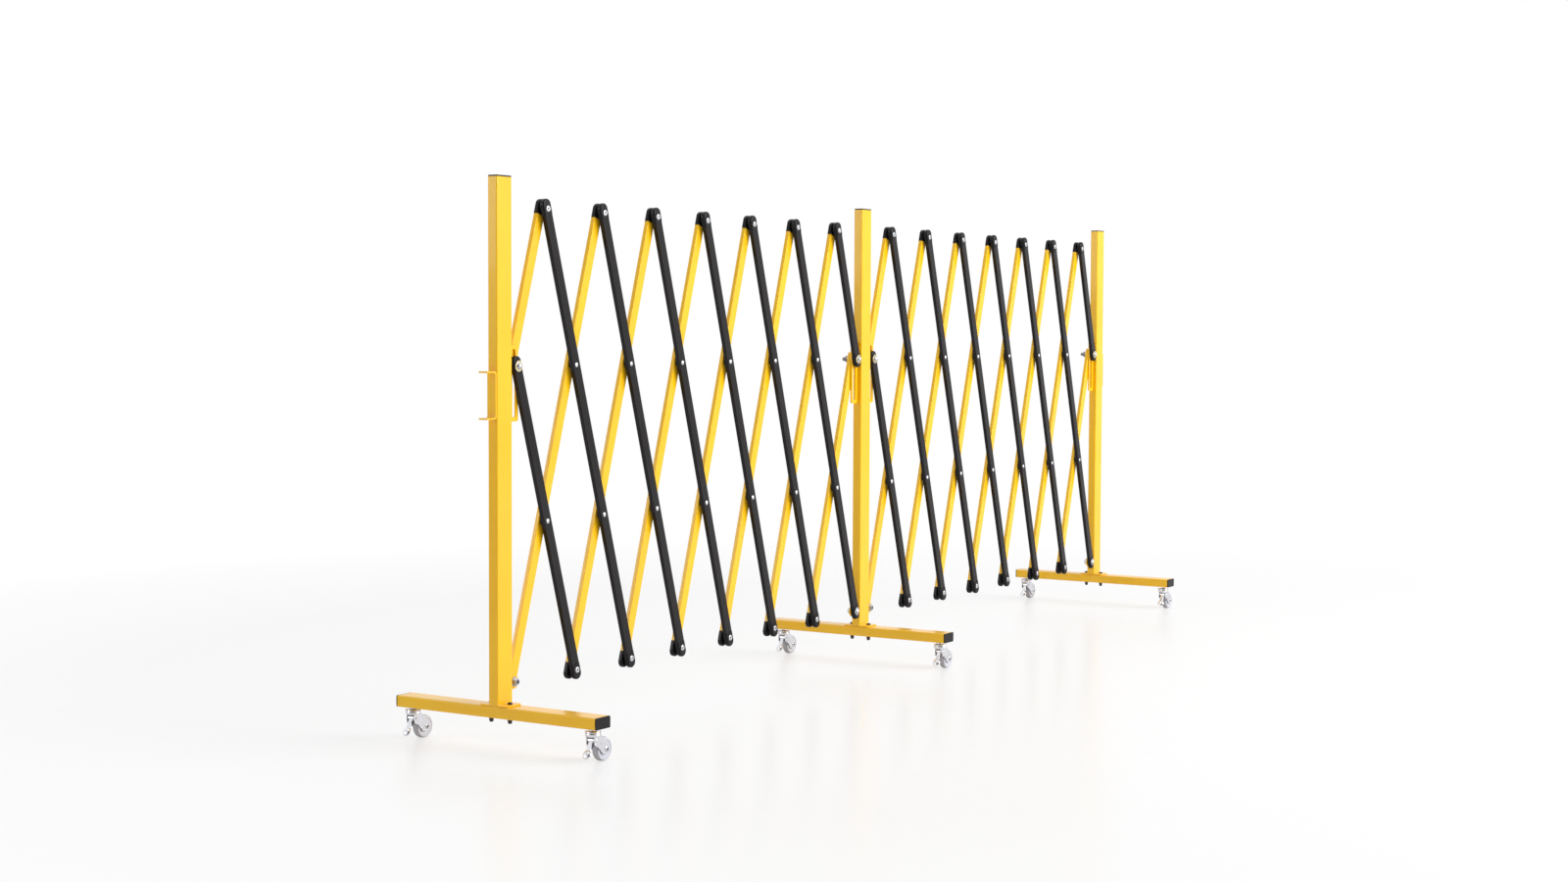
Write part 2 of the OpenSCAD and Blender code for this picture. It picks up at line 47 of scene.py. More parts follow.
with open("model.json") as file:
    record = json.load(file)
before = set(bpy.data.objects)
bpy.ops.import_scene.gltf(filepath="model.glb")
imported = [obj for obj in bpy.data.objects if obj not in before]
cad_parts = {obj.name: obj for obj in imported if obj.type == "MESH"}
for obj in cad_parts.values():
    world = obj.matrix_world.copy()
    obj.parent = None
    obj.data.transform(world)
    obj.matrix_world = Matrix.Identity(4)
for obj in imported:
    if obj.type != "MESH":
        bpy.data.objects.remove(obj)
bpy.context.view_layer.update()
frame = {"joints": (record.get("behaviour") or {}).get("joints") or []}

MM = 0.001
POSTS = ("left", "middle", "right")
SECTIONS = ("left", "right")
COLOURS = ("yellow", "black")
ENDS = {"front": -1, "rear": 1}
CASTORS = [f"{post}_{end}" for post in POSTS for end in ENDS]
BOTH = (-1, 1)
ROWS = 3
COLUMNS = 14
BARS = 8
# Faces that meet at more degrees than this keep a sharp edge in the shading
CREASE = 38
# Points this near to each other are one point
SAME_PLACE = 1e-7
# Kept back from a full rounding, so that two of them never meet in one point
HAIR = 0.01 * MM


def screen_colour(red, green, blue):
    """A colour as a screen shows it, 0 to 255, in the values that a shader takes"""
    def straight(level):
        level /= 255
        return level / 12.92 if level <= 0.04045 else ((level + 0.055) / 1.055) ** 2.4
    return (straight(red), straight(green), straight(blue))


def joint_place(name):
    """Where a joint of the frame sits at rest"""
    for joint in frame["joints"]:
        if joint["name"] == name:
            return Vector(joint["pos_m"])
    raise RuntimeError(f"the frame has no joint named {name}")


# Sizes and colours

def size(label, note, millimetres):
    """A length in metres that the panel shows with its unit"""
    return bpy.props.FloatProperty(
        name=label, description=note, default=millimetres * MM, min=0.0,
        precision=4, subtype="DISTANCE", unit="LENGTH")


def colour(label, note, red, green, blue):
    """A colour that the panel shows as a swatch"""
    return bpy.props.FloatVectorProperty(
        name=label, description=note, default=screen_colour(red, green, blue),
        min=0.0, max=1.0, subtype="COLOR")


class BarrierSizes(bpy.types.PropertyGroup):
    """Sizes of the barrier's pieces, as the CAD frame has them"""
    height: size("Height", "Floor to the top of a post's cap", 970)
    tube_w: size("Frame tube width", "Wide side of the posts' and feet's tube", 40)
    tube_t: size("Frame tube depth", "Narrow side of that tube", 20)
    tube_corner: size("Frame tube corner", "Rounding of the frame tube's edges", 2.5)
    cap_flange: size("Cap thickness", "Thickness of the caps in the frame tubes", 2.5)
    foot_len: size("Foot length", "Length of a foot with its caps", 430)
    base_len: size("Base plate length", "Length of the plate under a post", 60)
    base_t: size("Base plate thickness", "Thickness of the plate under a post", 3)
    bolt_spread: size("Foot bolt place", "Distance of a foot bolt from the post's middle", 20)
    bolt_d: size("Bolt diameter", "Bolts at the posts and in the feet", 8)
    bar_pitch: size("Rivet pitch", "Distance between two crossings along a bar", 281)
    bar_w: size("Bar width", "Wide side of a lattice bar", 20)
    bar_t: size("Bar depth", "Narrow side of a lattice bar", 8)
    bar_wall: size("Bar wall", "Wall of a lattice bar's tube", 1)
    bar_corner: size("Bar corner", "Rounding of a lattice bar's edges", 0.9)
    bar_in: size("Bar inner face", "Lattice's middle plane to a bar's inner face", 2.4)
    cap_in: size("Cap inner face", "Lattice's middle plane to a bar cap's inner face", 1.8)
    cap_out: size("Cap outer face", "Lattice's middle plane to a bar cap's outer face", 11.3)
    cap_r: size("Cap radius", "Round end of a bar cap", 11)
    cap_reach: size("Cap reach", "Last pivot to the tip of its cap", 17.5)
    cap_neck: size("Cap neck", "Last pivot to the mouth of its cap", 11)
    plain_reach: size("Plain end reach", "Post's pivot to the end of an uncapped tube", 12)
    plate_t: size("Bracket thickness", "Thickness of brackets and tabs", 3)
    pivot_out: size("Pivot distance", "Post's side to the pivots and slots", 15.128)
    slot_low: size("Slot bottom", "Floor to the lower end of the slots", 563.3)
    slot_high: size("Slot top", "Floor to the upper end of the slots", 679.8)
    slot_w: size("Slot width", "Width of the slots", 9)
    strip_w: size("Slot border", "Strip of plate beside and beyond a slot", 6.5)
    tab_r: size("Tab radius", "Round end of a pivot tab", 12)
    rivet_d: size("Rivet diameter", "Shank of the rivets", 6)
    tip_head_d: size("Tip rivet head", "Head of the tubular rivets at the tips", 11)
    dome_head_d: size("Cross rivet head", "Head of the domed rivets at the crossings", 8.5)
    spacer_d: size("Spacer diameter", "Washer between two crossing bars", 14)
    castor_h: size("Castor height", "Floor to the underside of a foot", 58)
    stem_inset: size("Stem inset", "Foot's end to the castor's stem", 21)
    fork_d: size("Castor disc", "Diameter of the castor's bearing disc", 28)
    wheel_d: size("Wheel diameter", "Diameter of the castor wheels", 40)
    wheel_w: size("Wheel width", "Width of the castor wheels", 14)
    trail: size("Trail", "Stem to axle, seen from above", 25)
    hook_z: size("Hook height", "Floor to the middle of the coupling hook", 602.5)
    hook_h: size("Hook span", "Lower prong to upper prong, over all", 81)
    hook_reach: size("Hook reach", "Post to the prongs' ends", 25)
    hook_w: size("Hook width", "Width of the hook's and the keeper's strip", 18)
    hook_t: size("Hook thickness", "Thickness of the hook's strip", 3)
    hook_bend: size("Hook bend", "Outer radius of the hook's bends", 6)
    keeper_z: size("Keeper height", "Floor to the middle of the keeper strip", 609)
    keeper_h: size("Keeper length", "Length of the keeper strip", 84)
    keeper_t: size("Keeper thickness", "Thickness of the keeper strip", 5)


class BarrierColours(bpy.types.PropertyGroup):
    """Colours of the barrier's finishes and of the studio"""
    frame_yellow: colour("Frame yellow", "Paint on posts, feet and hook", 252, 197, 18)
    bar_yellow: colour("Bar yellow", "Paint on the yellow lattice bars", 252, 197, 18)
    bar_black: colour("Bar black", "Paint on the black lattice bars", 20, 16, 18)
    moulded: colour("Moulded black", "Plastic of caps, plugs and spacers", 18, 16, 18)
    zinc: colour("Zinc", "Plating of rivets, bolts and nuts", 196, 197, 202)
    # Dull zinc is a darker copy of the zinc: painted shade and dark reflection on the slot pins'
    # threads and nuts at the back
    painted_shade_zinc: colour("Dull zinc", "Worn plating of the slot pins' threads and nuts", 126, 123, 122)
    pale_gold: colour("Pale gold", "Plating of the washers under the slot pins", 218, 205, 166)
    chrome: colour("Chrome", "Plating of the castors' forks and pedals", 228, 229, 234)
    # Bolt black also paints the shade in the eyes of the pivot bolts and of the castors' axles
    bolt_black: colour("Bolt black", "Blackened bolts through the feet", 62, 60, 64)
    wheel: colour("Wheel", "Plastic of the castor wheels", 206, 207, 215)
    # Tread: a darker copy of the wheel's plastic, painted shade on the running surface
    tread: colour("Tread", "Worn running surface of the castor wheels", 182, 181, 186)
    floor: colour("Floor", "Studio floor", 246, 246, 247)


# Shapes

def placed(name, data):
    """An object of some data, in the scene"""
    thing = bpy.data.objects.new(name, data)
    bpy.context.scene.collection.objects.link(thing)
    return thing


def pour(part, into):
    """Moves one part's faces into another part"""
    carrier = bpy.data.meshes.new("carrier")
    part.to_mesh(carrier)
    part.free()
    into.from_mesh(carrier)
    bpy.data.meshes.remove(carrier)


class Shape:
    """Gathers the parts of one piece, and makes an object of them that rides on a body"""

    def __init__(self):
        self.whole = bmesh.new()

    def add(self, part, place, finish_number=0):
        """Takes a part in at a place; a finish number of None keeps what its faces have"""
        if finish_number is not None:
            for face in part.faces:
                face.material_index = finish_number
        bmesh.ops.transform(part, matrix=place, verts=part.verts)
        if place.determinant() < 0:
            bmesh.ops.reverse_faces(part, faces=part.faces)
        pour(part, self.whole)

    def make(self, name, body, finishes, node):
        """Makes the object with finishes by their names; it stands for a node of the CAD"""
        mesh = bpy.data.meshes.new(name)
        self.whole.to_mesh(mesh)
        self.whole.free()
        if not mesh.polygons:
            raise RuntimeError(f"{name} has no faces")
        for finish_name in finishes:
            mesh.materials.append(finish(finish_name))
        mesh.shade_smooth()
        mesh.set_sharp_from_angle(angle=math.radians(CREASE))
        piece = placed(name, mesh)
        even = piece.modifiers.new("even_shading", "WEIGHTED_NORMAL")
        even.keep_sharp = True
        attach(piece, body)
        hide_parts(node)


def at(x=0.0, y=0.0, z=0.0):
    return Matrix.Translation((x, y, z))


def turn(degrees, axis):
    return Matrix.Rotation(math.radians(degrees), 4, axis)


def squeeze(x=1.0, y=1.0, z=1.0):
    return Matrix.Diagonal((x, y, z, 1.0))


def upright(high):
    """Stands a flat part up in X and Z, its thickness ending at a value of Y"""
    return at(y=high) @ turn(90, "X")


ALONG_Y = turn(-90, "X")
ALONG_X = turn(90, "Y")
# Stands a flat part up in Y and Z, its thickness along X
FACING_X = turn(90, "Z") @ turn(90, "X")


def points_from(x, y, *steps):
    """Points that are given in millimetres from one place"""
    return [(x + across * MM, y + along * MM) for across, along in steps]


def mirror(profile):
    """A profile below height 0, with its points in the other order"""
    return [(radius, -height) for radius, height in reversed(profile)]


def of_kind(items, kind):
    return [item for item in items if isinstance(item, kind)]


def outward(part):
    """Turns all faces of a part to its outside"""
    bmesh.ops.recalc_face_normals(part, faces=part.faces)
    return part


def filled(part):
    """Closes the open ends of a part"""
    bmesh.ops.holes_fill(part, edges=part.edges[:], sides=0)
    return outward(part)


def rim_of(part, place):
    """Leaves only the edges of a flat face, at a place"""
    bmesh.ops.delete(part, geom=part.faces[:], context="FACES_ONLY")
    bmesh.ops.transform(part, matrix=place, verts=part.verts)
    return part


def turned(profile, steps, ring=False):
    """Points of radius and height, turned about Z; a ring's last point joins its first"""
    part = bmesh.new()
    points = [part.verts.new((radius, 0, height)) for radius, height in profile]
    edges = [part.edges.new(pair) for pair in zip(points, points[1:])]
    if ring:
        edges.append(part.edges.new((points[-1], points[0])))
    bmesh.ops.spin(part, geom=points + edges, axis=(0, 0, 1), cent=(0, 0, 0),
                   angle=math.tau, steps=steps, use_merge=True)
    bmesh.ops.remove_doubles(part, verts=part.verts, dist=SAME_PLACE)
    return outward(part)


def flat_face(points, rounding=None, steps=6):
    """A flat face with some of its corners rounded; rounding maps a corner to its offset"""
    shortest_edge = 0.03 * MM
    part = bmesh.new()
    corners = [part.verts.new((x, y, 0)) for x, y in points]
    part.faces.new(corners)
    for place, offset in (rounding or {}).items():
        bmesh.ops.bevel(part, geom=[corners[place]], offset=offset, offset_type="OFFSET",
                        segments=steps, profile=0.5, affect="VERTICES", material=-1)
    bmesh.ops.remove_doubles(part, verts=part.verts, dist=shortest_edge)
    return part


def rounded_face(width, depth, corner, steps=4):
    """A rectangle about the origin with rounded corners"""
    x = width / 2
    y = depth / 2
    return flat_face([(-x, -y), (x, -y), (x, y), (-x, y)],
                     {place: corner for place in range(4)}, steps)


def pierced(part, opening, place):
    """Fills a flat face anew around an opening, a flat face inside it"""
    bmesh.ops.delete(part, geom=part.faces[:], context="FACES_ONLY")
    pour(rim_of(opening, place), part)
    bmesh.ops.triangle_fill(part, edges=part.edges[:], use_beauty=True)
    return part


def raised(part, height):
    """Gives a flat face a thickness along Z"""
    grown = bmesh.ops.extrude_face_region(part, geom=part.faces[:])["geom"]
    bmesh.ops.translate(part, vec=(0, 0, height), verts=of_kind(grown, bmesh.types.BMVert))
    return outward(part)


def eased(part, radius, steps=2, up_to=math.inf):
    """Rounds the sharp edges of a part, but none that starts at or past a value of Y"""
    sharp_from = math.radians(50)
    sharp = [edge for edge in part.edges
             if len(edge.link_faces) == 2 and edge.calc_face_angle(0) > sharp_from
             and min(end.co.y for end in edge.verts) < up_to - HAIR]
    bmesh.ops.bevel(part, geom=sharp, offset=radius, offset_type="OFFSET", segments=steps,
                    profile=0.5, affect="EDGES", material=-1, clamp_overlap=True)
    return part


def disc(radius, low, high, steps, ease=0.25 * MM, bore=0.0):
    """A round pin along Z with eased ends, or a washer if it has a bore"""
    profile = [(bore, low), (radius - ease, low), (radius, low + ease),
               (radius, high - ease), (radius - ease, high), (bore, high)]
    return turned(profile, steps, ring=bore > 0)


def dome(radius, height):
    """Profile of a low dome that stands on a flat face at height 0"""
    steps = 5
    ball = (radius * radius + height * height) / (2 * height)
    rim = math.asin(radius / ball)
    angles = [rim * step / steps for step in range(steps, -1, -1)]
    return [(ball * math.sin(angle), height - ball + ball * math.cos(angle)) for angle in angles]


def sheet(face, thickness, ease, steps=2):
    """A flat face with a thickness along Z and eased edges"""
    return eased(raised(face, thickness), ease, steps)


def grown_ring(part, ring):
    """Grows the next ring of edges from one; gives its points and its edges"""
    grown = bmesh.ops.extrude_edge_only(part, edges=ring)["geom"]
    points = of_kind(grown, bmesh.types.BMVert)
    return points, [edge for edge in of_kind(grown, bmesh.types.BMEdge)
                    if all(end in points for end in edge.verts)]


def weld_bead(radius, length):
    """A bead along Z whose width ripples as a weld's does"""
    part = bmesh.new()
    end_share = 0.6
    count = max(3, round(length / (radius * 0.8)))
    bmesh.ops.create_circle(part, cap_ends=False, segments=8, radius=radius * end_share)
    ring = part.edges[:]
    for number in range(1, count + 1):
        points, ring = grown_ring(part, ring)
        bmesh.ops.translate(part, vec=(0, 0, length / count), verts=points)
        ripple = 1 + 0.16 * math.cos(math.pi * number) + 0.08 * math.sin(1.7 * number)
        wide = ripple * (end_share if number == count else 1.0)
        before = points[0].co.xy.length
        bmesh.ops.scale(part, vec=(wide * radius / before, wide * radius / before, 1), verts=points)
    return filled(part)


class Strip:
    """A section drawn along straight lengths and bends, in the plane of X and Z"""

    def __init__(self, section, place):
        self.part = rim_of(section, place)
        self.ring = section.edges[:]

    def straight(self, move):
        points, self.ring = grown_ring(self.part, self.ring)
        bmesh.ops.translate(self.part, vec=move, verts=points)

    def bend(self, centre):
        """A quarter turn, clockwise as seen from the front"""
        ends = {end for edge in self.ring for end in edge.verts}
        last = bmesh.ops.spin(self.part, geom=list(ends) + self.ring, cent=centre,
                              axis=(0, 1, 0), angle=math.pi / 2, steps=6)
        self.ring = of_kind(last["geom_last"], bmesh.types.BMEdge)

    def closed(self):
        bmesh.ops.remove_doubles(self.part, verts=self.part.verts, dist=SAME_PLACE)
        return filled(self.part)


# Finishes

class Socket:
    """A value in a finish, whose sums read as Python"""

    def __init__(self, finish, source):
        self.finish = finish
        self.source = source

    def __add__(self, other):
        return self.finish.maths("ADD", self, other)

    def __radd__(self, other):
        return self.finish.maths("ADD", other, self)

    def __sub__(self, other):
        return self.finish.maths("SUBTRACT", self, other)

    def __rsub__(self, other):
        return self.finish.maths("SUBTRACT", other, self)

    def __mul__(self, other):
        return self.finish.maths("MULTIPLY", self, other)

    def __rmul__(self, other):
        return self.finish.maths("MULTIPLY", other, self)

    def __gt__(self, other):
        return self.finish.maths("GREATER_THAN", self, other)


class Finish:
    """Nodes of one finish, or of the studio's surroundings"""

    def __init__(self, owner):
        owner.use_nodes = True
        self.owner = owner
        self.tree = owner.node_tree
        self.tree.nodes.clear()
        self.place = None

    def node(self, kind, settings=None, inputs=None, output=0):
        """Adds a node: its settings first, then the values and links of its sockets"""
        node = self.tree.nodes.new(kind)
        for setting, value in (settings or {}).items():
            setattr(node, setting, value)
        for key, value in (inputs or {}).items():
            if isinstance(value, Socket):
                self.tree.links.new(value.source, node.inputs[key])
            else:
                node.inputs[key].default_value = value
        return Socket(self, node.outputs[output]) if node.outputs else None

    def maths(self, operation, first, second):
        return self.node("ShaderNodeMath", {"operation": operation}, {0: first, 1: second})

    def vectors(self, operation, *vectors):
        """The number that an operation on one or two vectors gives"""
        return self.node("ShaderNodeVectorMath", {"operation": operation}, dict(enumerate(vectors)), 1)

    def where(self):
        """Object coordinates, in metres"""
        if self.place is None:
            self.place = self.node("ShaderNodeTexCoord", output="Object")
        return self.place

    def clouds(self, scale, detail=2.0, roughness=0.5, stretch=None, shift=0.0):
        """Noise of so many cells to the metre, stretched along some axis if asked"""
        where = self.where()
        if stretch or shift:
            where = self.node("ShaderNodeMapping", inputs={
                "Vector": where, "Location": (shift, shift, shift), "Scale": stretch or (1, 1, 1)})
        return self.node("ShaderNodeTexNoise", inputs={
            "Vector": where, "Scale": scale, "Detail": detail, "Roughness": roughness})

    def spread(self, value, low, high, to_low=0.0, to_high=1.0):
        """Maps a value from one range to another and keeps it there"""
        return self.node("ShaderNodeMapRange", {"clamp": True}, {
            "Value": value, "From Min": low, "From Max": high, "To Min": to_low, "To Max": to_high})

    def blend(self, share, first, second):
        """Mixes two colours"""
        return self.node("ShaderNodeMix", {"data_type": "RGBA"}, {0: share, 6: first, 7: second}, 2)

    def relief(self, height, distance, strength=1.0, over=None):
        """Raised detail, over other detail if given"""
        inputs = {"Height": height, "Distance": distance, "Strength": strength}
        if over is not None:
            inputs["Normal"] = over
        return self.node("ShaderNodeBump", inputs=inputs)

    def surface(self, **values):
        """Ends the finish in one shader; spaces in a socket's name are written _"""
        shader = self.node("ShaderNodeBsdfPrincipled",
                           inputs={key.replace("_", " "): value for key, value in values.items()})
        self.node("ShaderNodeOutputMaterial", inputs={"Surface": shader})
        return self.owner


def solid(tone, share=1.0):
    """A colour with its fourth value, lighter or darker by a share"""
    return (tone[0] * share, tone[1] * share, tone[2] * share, 1.0)


def gloss_paint(f, tone):
    """Stoved gloss paint: orange peel, faint cloudiness and a few dull rub marks"""
    warm_tone = solid((tone[0] * 0.97, tone[1] * 0.93, tone[2] * 0.8))
    rubbed_tone = solid((tone[0] * 0.93, tone[1] * 0.92, tone[2] * 1.5))
    peel = f.clouds(300, 2.0, 0.45)
    fine = f.clouds(1400, 1.0)
    drift = f.spread(f.clouds(7, 3.0), 0.35, 0.65)
    rubs = f.spread(f.clouds(38, 4.0, 0.65, stretch=(1.0, 1.0, 0.22)), 0.60, 0.74)
    return f.surface(
        Base_Color=f.blend(rubs * 0.35, f.blend(drift, solid(tone), warm_tone), rubbed_tone),
        Roughness=0.26 + 0.05 * fine + 0.16 * rubs,
        Normal=f.relief(fine, 0.00002, 0.4, over=f.relief(peel, 0.00006, 0.5)),
        Coat_Weight=0.3, Coat_Roughness=0.06, IOR=1.37)


def satin_paint(f, tone):
    """Black powder coat: a pebbled skin, pale dust in it and fine lengthwise scratches"""
    pebble = f.clouds(900, 3.0, 0.6)
    broad = f.spread(f.clouds(11, 3.0), 0.35, 0.7)
    marks = f.spread(f.clouds(70, 3.0, 0.7, stretch=(6.0, 6.0, 0.35)), 0.63, 0.72)
    body = f.blend(broad, solid(tone, 0.88), solid(tone, 1.18))
    return f.surface(
        Base_Color=f.blend(marks * 0.3, body, solid(tone, 2.4)),
        Roughness=0.24 + 0.12 * pebble + 0.1 * marks,
        Normal=f.relief(pebble, 0.00004, 0.7), IOR=1.2, Coat_Weight=0.24, Coat_Roughness=0.12)


def moulded_plastic(f, tone):
    """Black moulded plastic with a spark-eroded grain"""
    grain = f.clouds(1600, 4.0, 0.7)
    flow = f.spread(f.clouds(60, 2.0), 0.3, 0.7)
    return f.surface(
        Base_Color=f.blend(flow, solid(tone, 0.9), solid(tone, 1.15)),
        Roughness=0.24 + 0.14 * grain, Normal=f.relief(grain, 0.00005, 0.6), IOR=1.28)


def plated_steel(f, tone, roughness=0.28):
    """Plated steel: spangle, a soft brushed roughness and darker spots"""
    spangle = f.clouds(520, 3.0, 0.6)
    spots = f.spread(f.clouds(900, 2.0, 0.5, shift=3.0), 0.62, 0.74)
    body = f.blend(spangle, solid(tone, 0.86), solid(tone))
    return f.surface(
        Base_Color=f.blend(spots, body, solid(tone, 0.62)),
        Roughness=roughness + 0.14 * spangle, Metallic=1.0,
        Normal=f.relief(spangle, 0.00002, 0.5))


def chrome_plate(f, tone):
    """Bright chrome over pressed steel: slow waves, smears and a few pits"""
    waves = f.clouds(120, 2.0, 0.5)
    smears = f.spread(f.clouds(90, 4.0, 0.7, shift=5.0), 0.45, 0.75)
    pits = f.spread(f.clouds(1500, 2.0), 0.70, 0.78)
    body = f.blend(smears, solid(tone), solid(tone, 0.84))
    return f.surface(
        Base_Color=f.blend(pits, body, solid(tone, 0.45)),
        Roughness=0.07 + 0.14 * smears + 0.2 * pits, Metallic=1.0,
        Normal=f.relief(waves, 0.00012, 0.45))


def wheel_plastic(f, tone):
    """Pale wheel plastic, dusty and scuffed, with painted contact shade at the bottom where it stands
    on the floor
    """
    grain = f.clouds(1100, 3.0, 0.6)
    dust = f.spread(f.clouds(160, 4.0, 0.7), 0.48, 0.70)
    height = f.node("ShaderNodeSeparateXYZ", inputs={"Vector": f.where()}, output="Z")
    # The lowest 12 mm of the wheel turn darker: painted contact shade, patched by the dust noise
    low = f.spread(height, 0.0, 0.012, 1.0, 0.0)
    soiled = f.blend(dust * 0.35, solid(tone), solid(tone, 0.8))
    return f.surface(
        Base_Color=f.blend(low * dust * 0.6, soiled, solid(tone, 0.5)),
        Roughness=0.44 + 0.12 * grain + 0.1 * dust,
        Normal=f.relief(grain, 0.00004, 0.5), IOR=1.48, Coat_Weight=0.1, Coat_Roughness=0.3)


def finish(name):
    """One of the barrier's finishes, made the first time it is asked for"""
    tones = bpy.context.scene.barrier_colours
    makers = {
        "frame_yellow_gloss": (gloss_paint, tones.frame_yellow),
        "bar_yellow_gloss": (gloss_paint, tones.bar_yellow),
        "bar_black_satin": (satin_paint, tones.bar_black),
        "moulded_black": (moulded_plastic, tones.moulded),
        "zinc_plate": (plated_steel, tones.zinc),
        "painted_shade_zinc_plate": (plated_steel, tones.painted_shade_zinc, 0.34),
        "pale_gold_plate": (plated_steel, tones.pale_gold, 0.22),
        "bright_chrome": (chrome_plate, tones.chrome),
        "blackened_bolt": (satin_paint, tones.bolt_black),
        "wheel_grey": (wheel_plastic, tones.wheel),
        "tread_painted_shade": (wheel_plastic, tones.tread),
    }
    maker, *values = makers[name]
    return bpy.data.materials.get(name) or maker(Finish(bpy.data.materials.new(name)), *values)


# Where things are

class Bar:
    """A lattice bar, with its lowest and highest level and its place in the frame"""

    def __init__(self, section, shade, number):
        self.section = section
        self.shade = shade
        self.number = number
        self.node = f"{section}_{shade}_{number}"
        if shade == "yellow":
            self.ends = (max(0, ROWS + 1 - 2 * number), min(ROWS, COLUMNS + ROWS + 1 - 2 * number))
        else:
            self.ends = (max(0, 2 * number - COLUMNS), min(ROWS, 2 * number))

    def column_at(self, level):
        """The column of crossings that the bar passes at a level"""
        if self.shade == "yellow":
            return 2 * self.number - ROWS - 1 + level
        return 2 * self.number - level

    def at_post(self, level):
        return self.column_at(level) in (0, COLUMNS)

    def place(self):
        """Puts a bar, drawn up Z from its lowest pivot on the +Y side, where the frame has it"""
        start = joint_place("right_fold")
        step = joint_place("right_black_1_pivot") - start
        first = start.x if self.section == "right" else joint_place("left_post_pivot").x
        lean = math.degrees(math.atan2(step.x, step.z))
        place = at(first + self.column_at(0) * step.x, 0, start.z)
        if self.shade == "yellow":
            return place @ turn(lean, "Y")
        return place @ turn(-lean, "Y") @ squeeze(y=-1)

    def pivot(self, s, level):
        """The bar's place, moved up it to the pivot of a level"""
        return self.place() @ at(z=level * s.bar_pitch)


def bars(shades=COLOURS, numbers=range(1, BARS + 1)):
    return [Bar(section, shade, number)
            for section in SECTIONS for shade in shades for number in numbers]


def post_x(post):
    low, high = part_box(post + "_foot")
    return (low[0] + high[0]) / 2


def pivot_sides(post):
    return {"left": (1,), "middle": (-1, 1), "right": (-1,)}[post]


def stem_place(s, castor):
    """Where a castor's stem stands"""
    post, end = castor.split("_")
    return at(post_x(post), ENDS[end] * (s.foot_len / 2 - s.stem_inset), 0)


class Step:
    """What the operators share"""
    bl_options = {"REGISTER", "UNDO"}

    def each(self, context, make_one, things):
        """Makes one piece for each thing, from the panel's sizes"""
        for thing in things:
            make_one(context.scene.barrier_sizes, thing)
        return {"FINISHED"}


# Frame

def outline(s, outer, low, high, corner, steps):
    """A plate that starts inside the post's wall, with its two outer corners rounded"""
    inner = s.tube_w / 2 - 0.5 * MM
    return flat_face([(inner, low), (outer, low), (outer, high), (inner, high)],
                     {1: corner, 2: corner}, steps)


def weld_on(s, shape, here, face, low, high, inset):
    """Adds a plate and a flattened bead on each side of it, shorter by an inset at each end"""
    half = s.plate_t / 2
    shape.add(sheet(face, s.plate_t, 0.4 * MM), here @ upright(half))
    for side in BOTH:
        bead = weld_bead(1.1 * MM, high - low - 2 * inset)
        shape.add(bead, here @ at(s.tube_w / 2, side * half, low + inset) @ squeeze(x=0.25))


def add_bracket(s, shape, here):
    middle = s.tube_w / 2 + s.pivot_out
    outer = middle + s.slot_w / 2 + s.strip_w
    low = s.slot_low - s.strip_w
    high = s.slot_high + s.strip_w
    face = outline(s, outer, low, high, 4 * MM, 6)
    slot = rounded_face(s.slot_w, s.slot_high - s.slot_low, s.slot_w / 2 - HAIR, 8)
    face = pierced(face, slot, at(middle, (s.slot_low + s.slot_high) / 2, 0))
    weld_on(s, shape, here, face, low, high, 5 * MM)


def add_tab(s, shape, here):
    outer = s.tube_w / 2 + s.pivot_out + s.tab_r
    middle = joint_place("right_fold").z
    low = middle - s.tab_r
    high = middle + s.tab_r
    face = outline(s, outer, low, high, s.tab_r - HAIR, 10)
    weld_on(s, shape, here, face, low, high, 2 * MM)


def make_post(s, post):
    """A post; the right one has the keeper strip too"""
    foot_top = s.castor_h + s.tube_t
    bottom = foot_top + s.base_t
    plate_w = s.tube_w + 1.6 * MM
    bead_inset = 4 * MM
    shape = Shape()
    here = at(x=post_x(post))
    section = rounded_face(s.tube_w, s.tube_t, s.tube_corner, 5)
    shape.add(raised(section, s.height - s.cap_flange - bottom), here @ at(z=bottom))
    plate = sheet(rounded_face(plate_w, s.base_len, 6 * MM, 6), s.base_t, 0.8 * MM)
    shape.add(plate, here @ at(z=foot_top))
    for side in pivot_sides(post):
        add_bracket(s, shape, here @ squeeze(x=side))
        add_tab(s, shape, here @ squeeze(x=side))
    for side in BOTH:
        bead = weld_bead(1.3 * MM, s.tube_w - 2 * bead_inset)
        start = at(-s.tube_w / 2 + bead_inset, side * s.tube_t / 2, bottom)
        shape.add(bead, here @ start @ ALONG_X)
    if post == "right":
        keeper = sheet(rounded_face(s.hook_w, s.keeper_h, 1.5 * MM), s.keeper_t, 0.6 * MM)
        shape.add(keeper, here @ at(s.tube_w / 2, 0, s.keeper_z) @ FACING_X)
    node = post + "_post"
    shape.make(node + "_painted", node, ["frame_yellow_gloss"], node)


class BARRIER_OT_posts(Step, bpy.types.Operator):
    """Makes the posts with their base plates, slotted brackets, tabs and welds"""
    bl_idname = "barrier.posts"
    bl_label = "Posts"

    def execute(self, context):
        return self.each(context, make_post, POSTS)


def make_foot(s, post):
    length = s.foot_len - 2 * s.cap_flange
    shape = Shape()
    beam = raised(rounded_face(s.tube_w, s.tube_t, s.tube_corner, 5), length)
    shape.add(beam, at(post_x(post), -length / 2, s.castor_h + s.tube_t / 2) @ ALONG_Y)
    node = post + "_foot"
    shape.make(node + "_painted", post + "_post", ["frame_yellow_gloss"], node)


class BARRIER_OT_feet(Step, bpy.types.Operator):
    """Makes the foot beams"""
    bl_idname = "barrier.feet"
    bl_label = "Feet"

    def execute(self, context):
        return self.each(context, make_foot, POSTS)


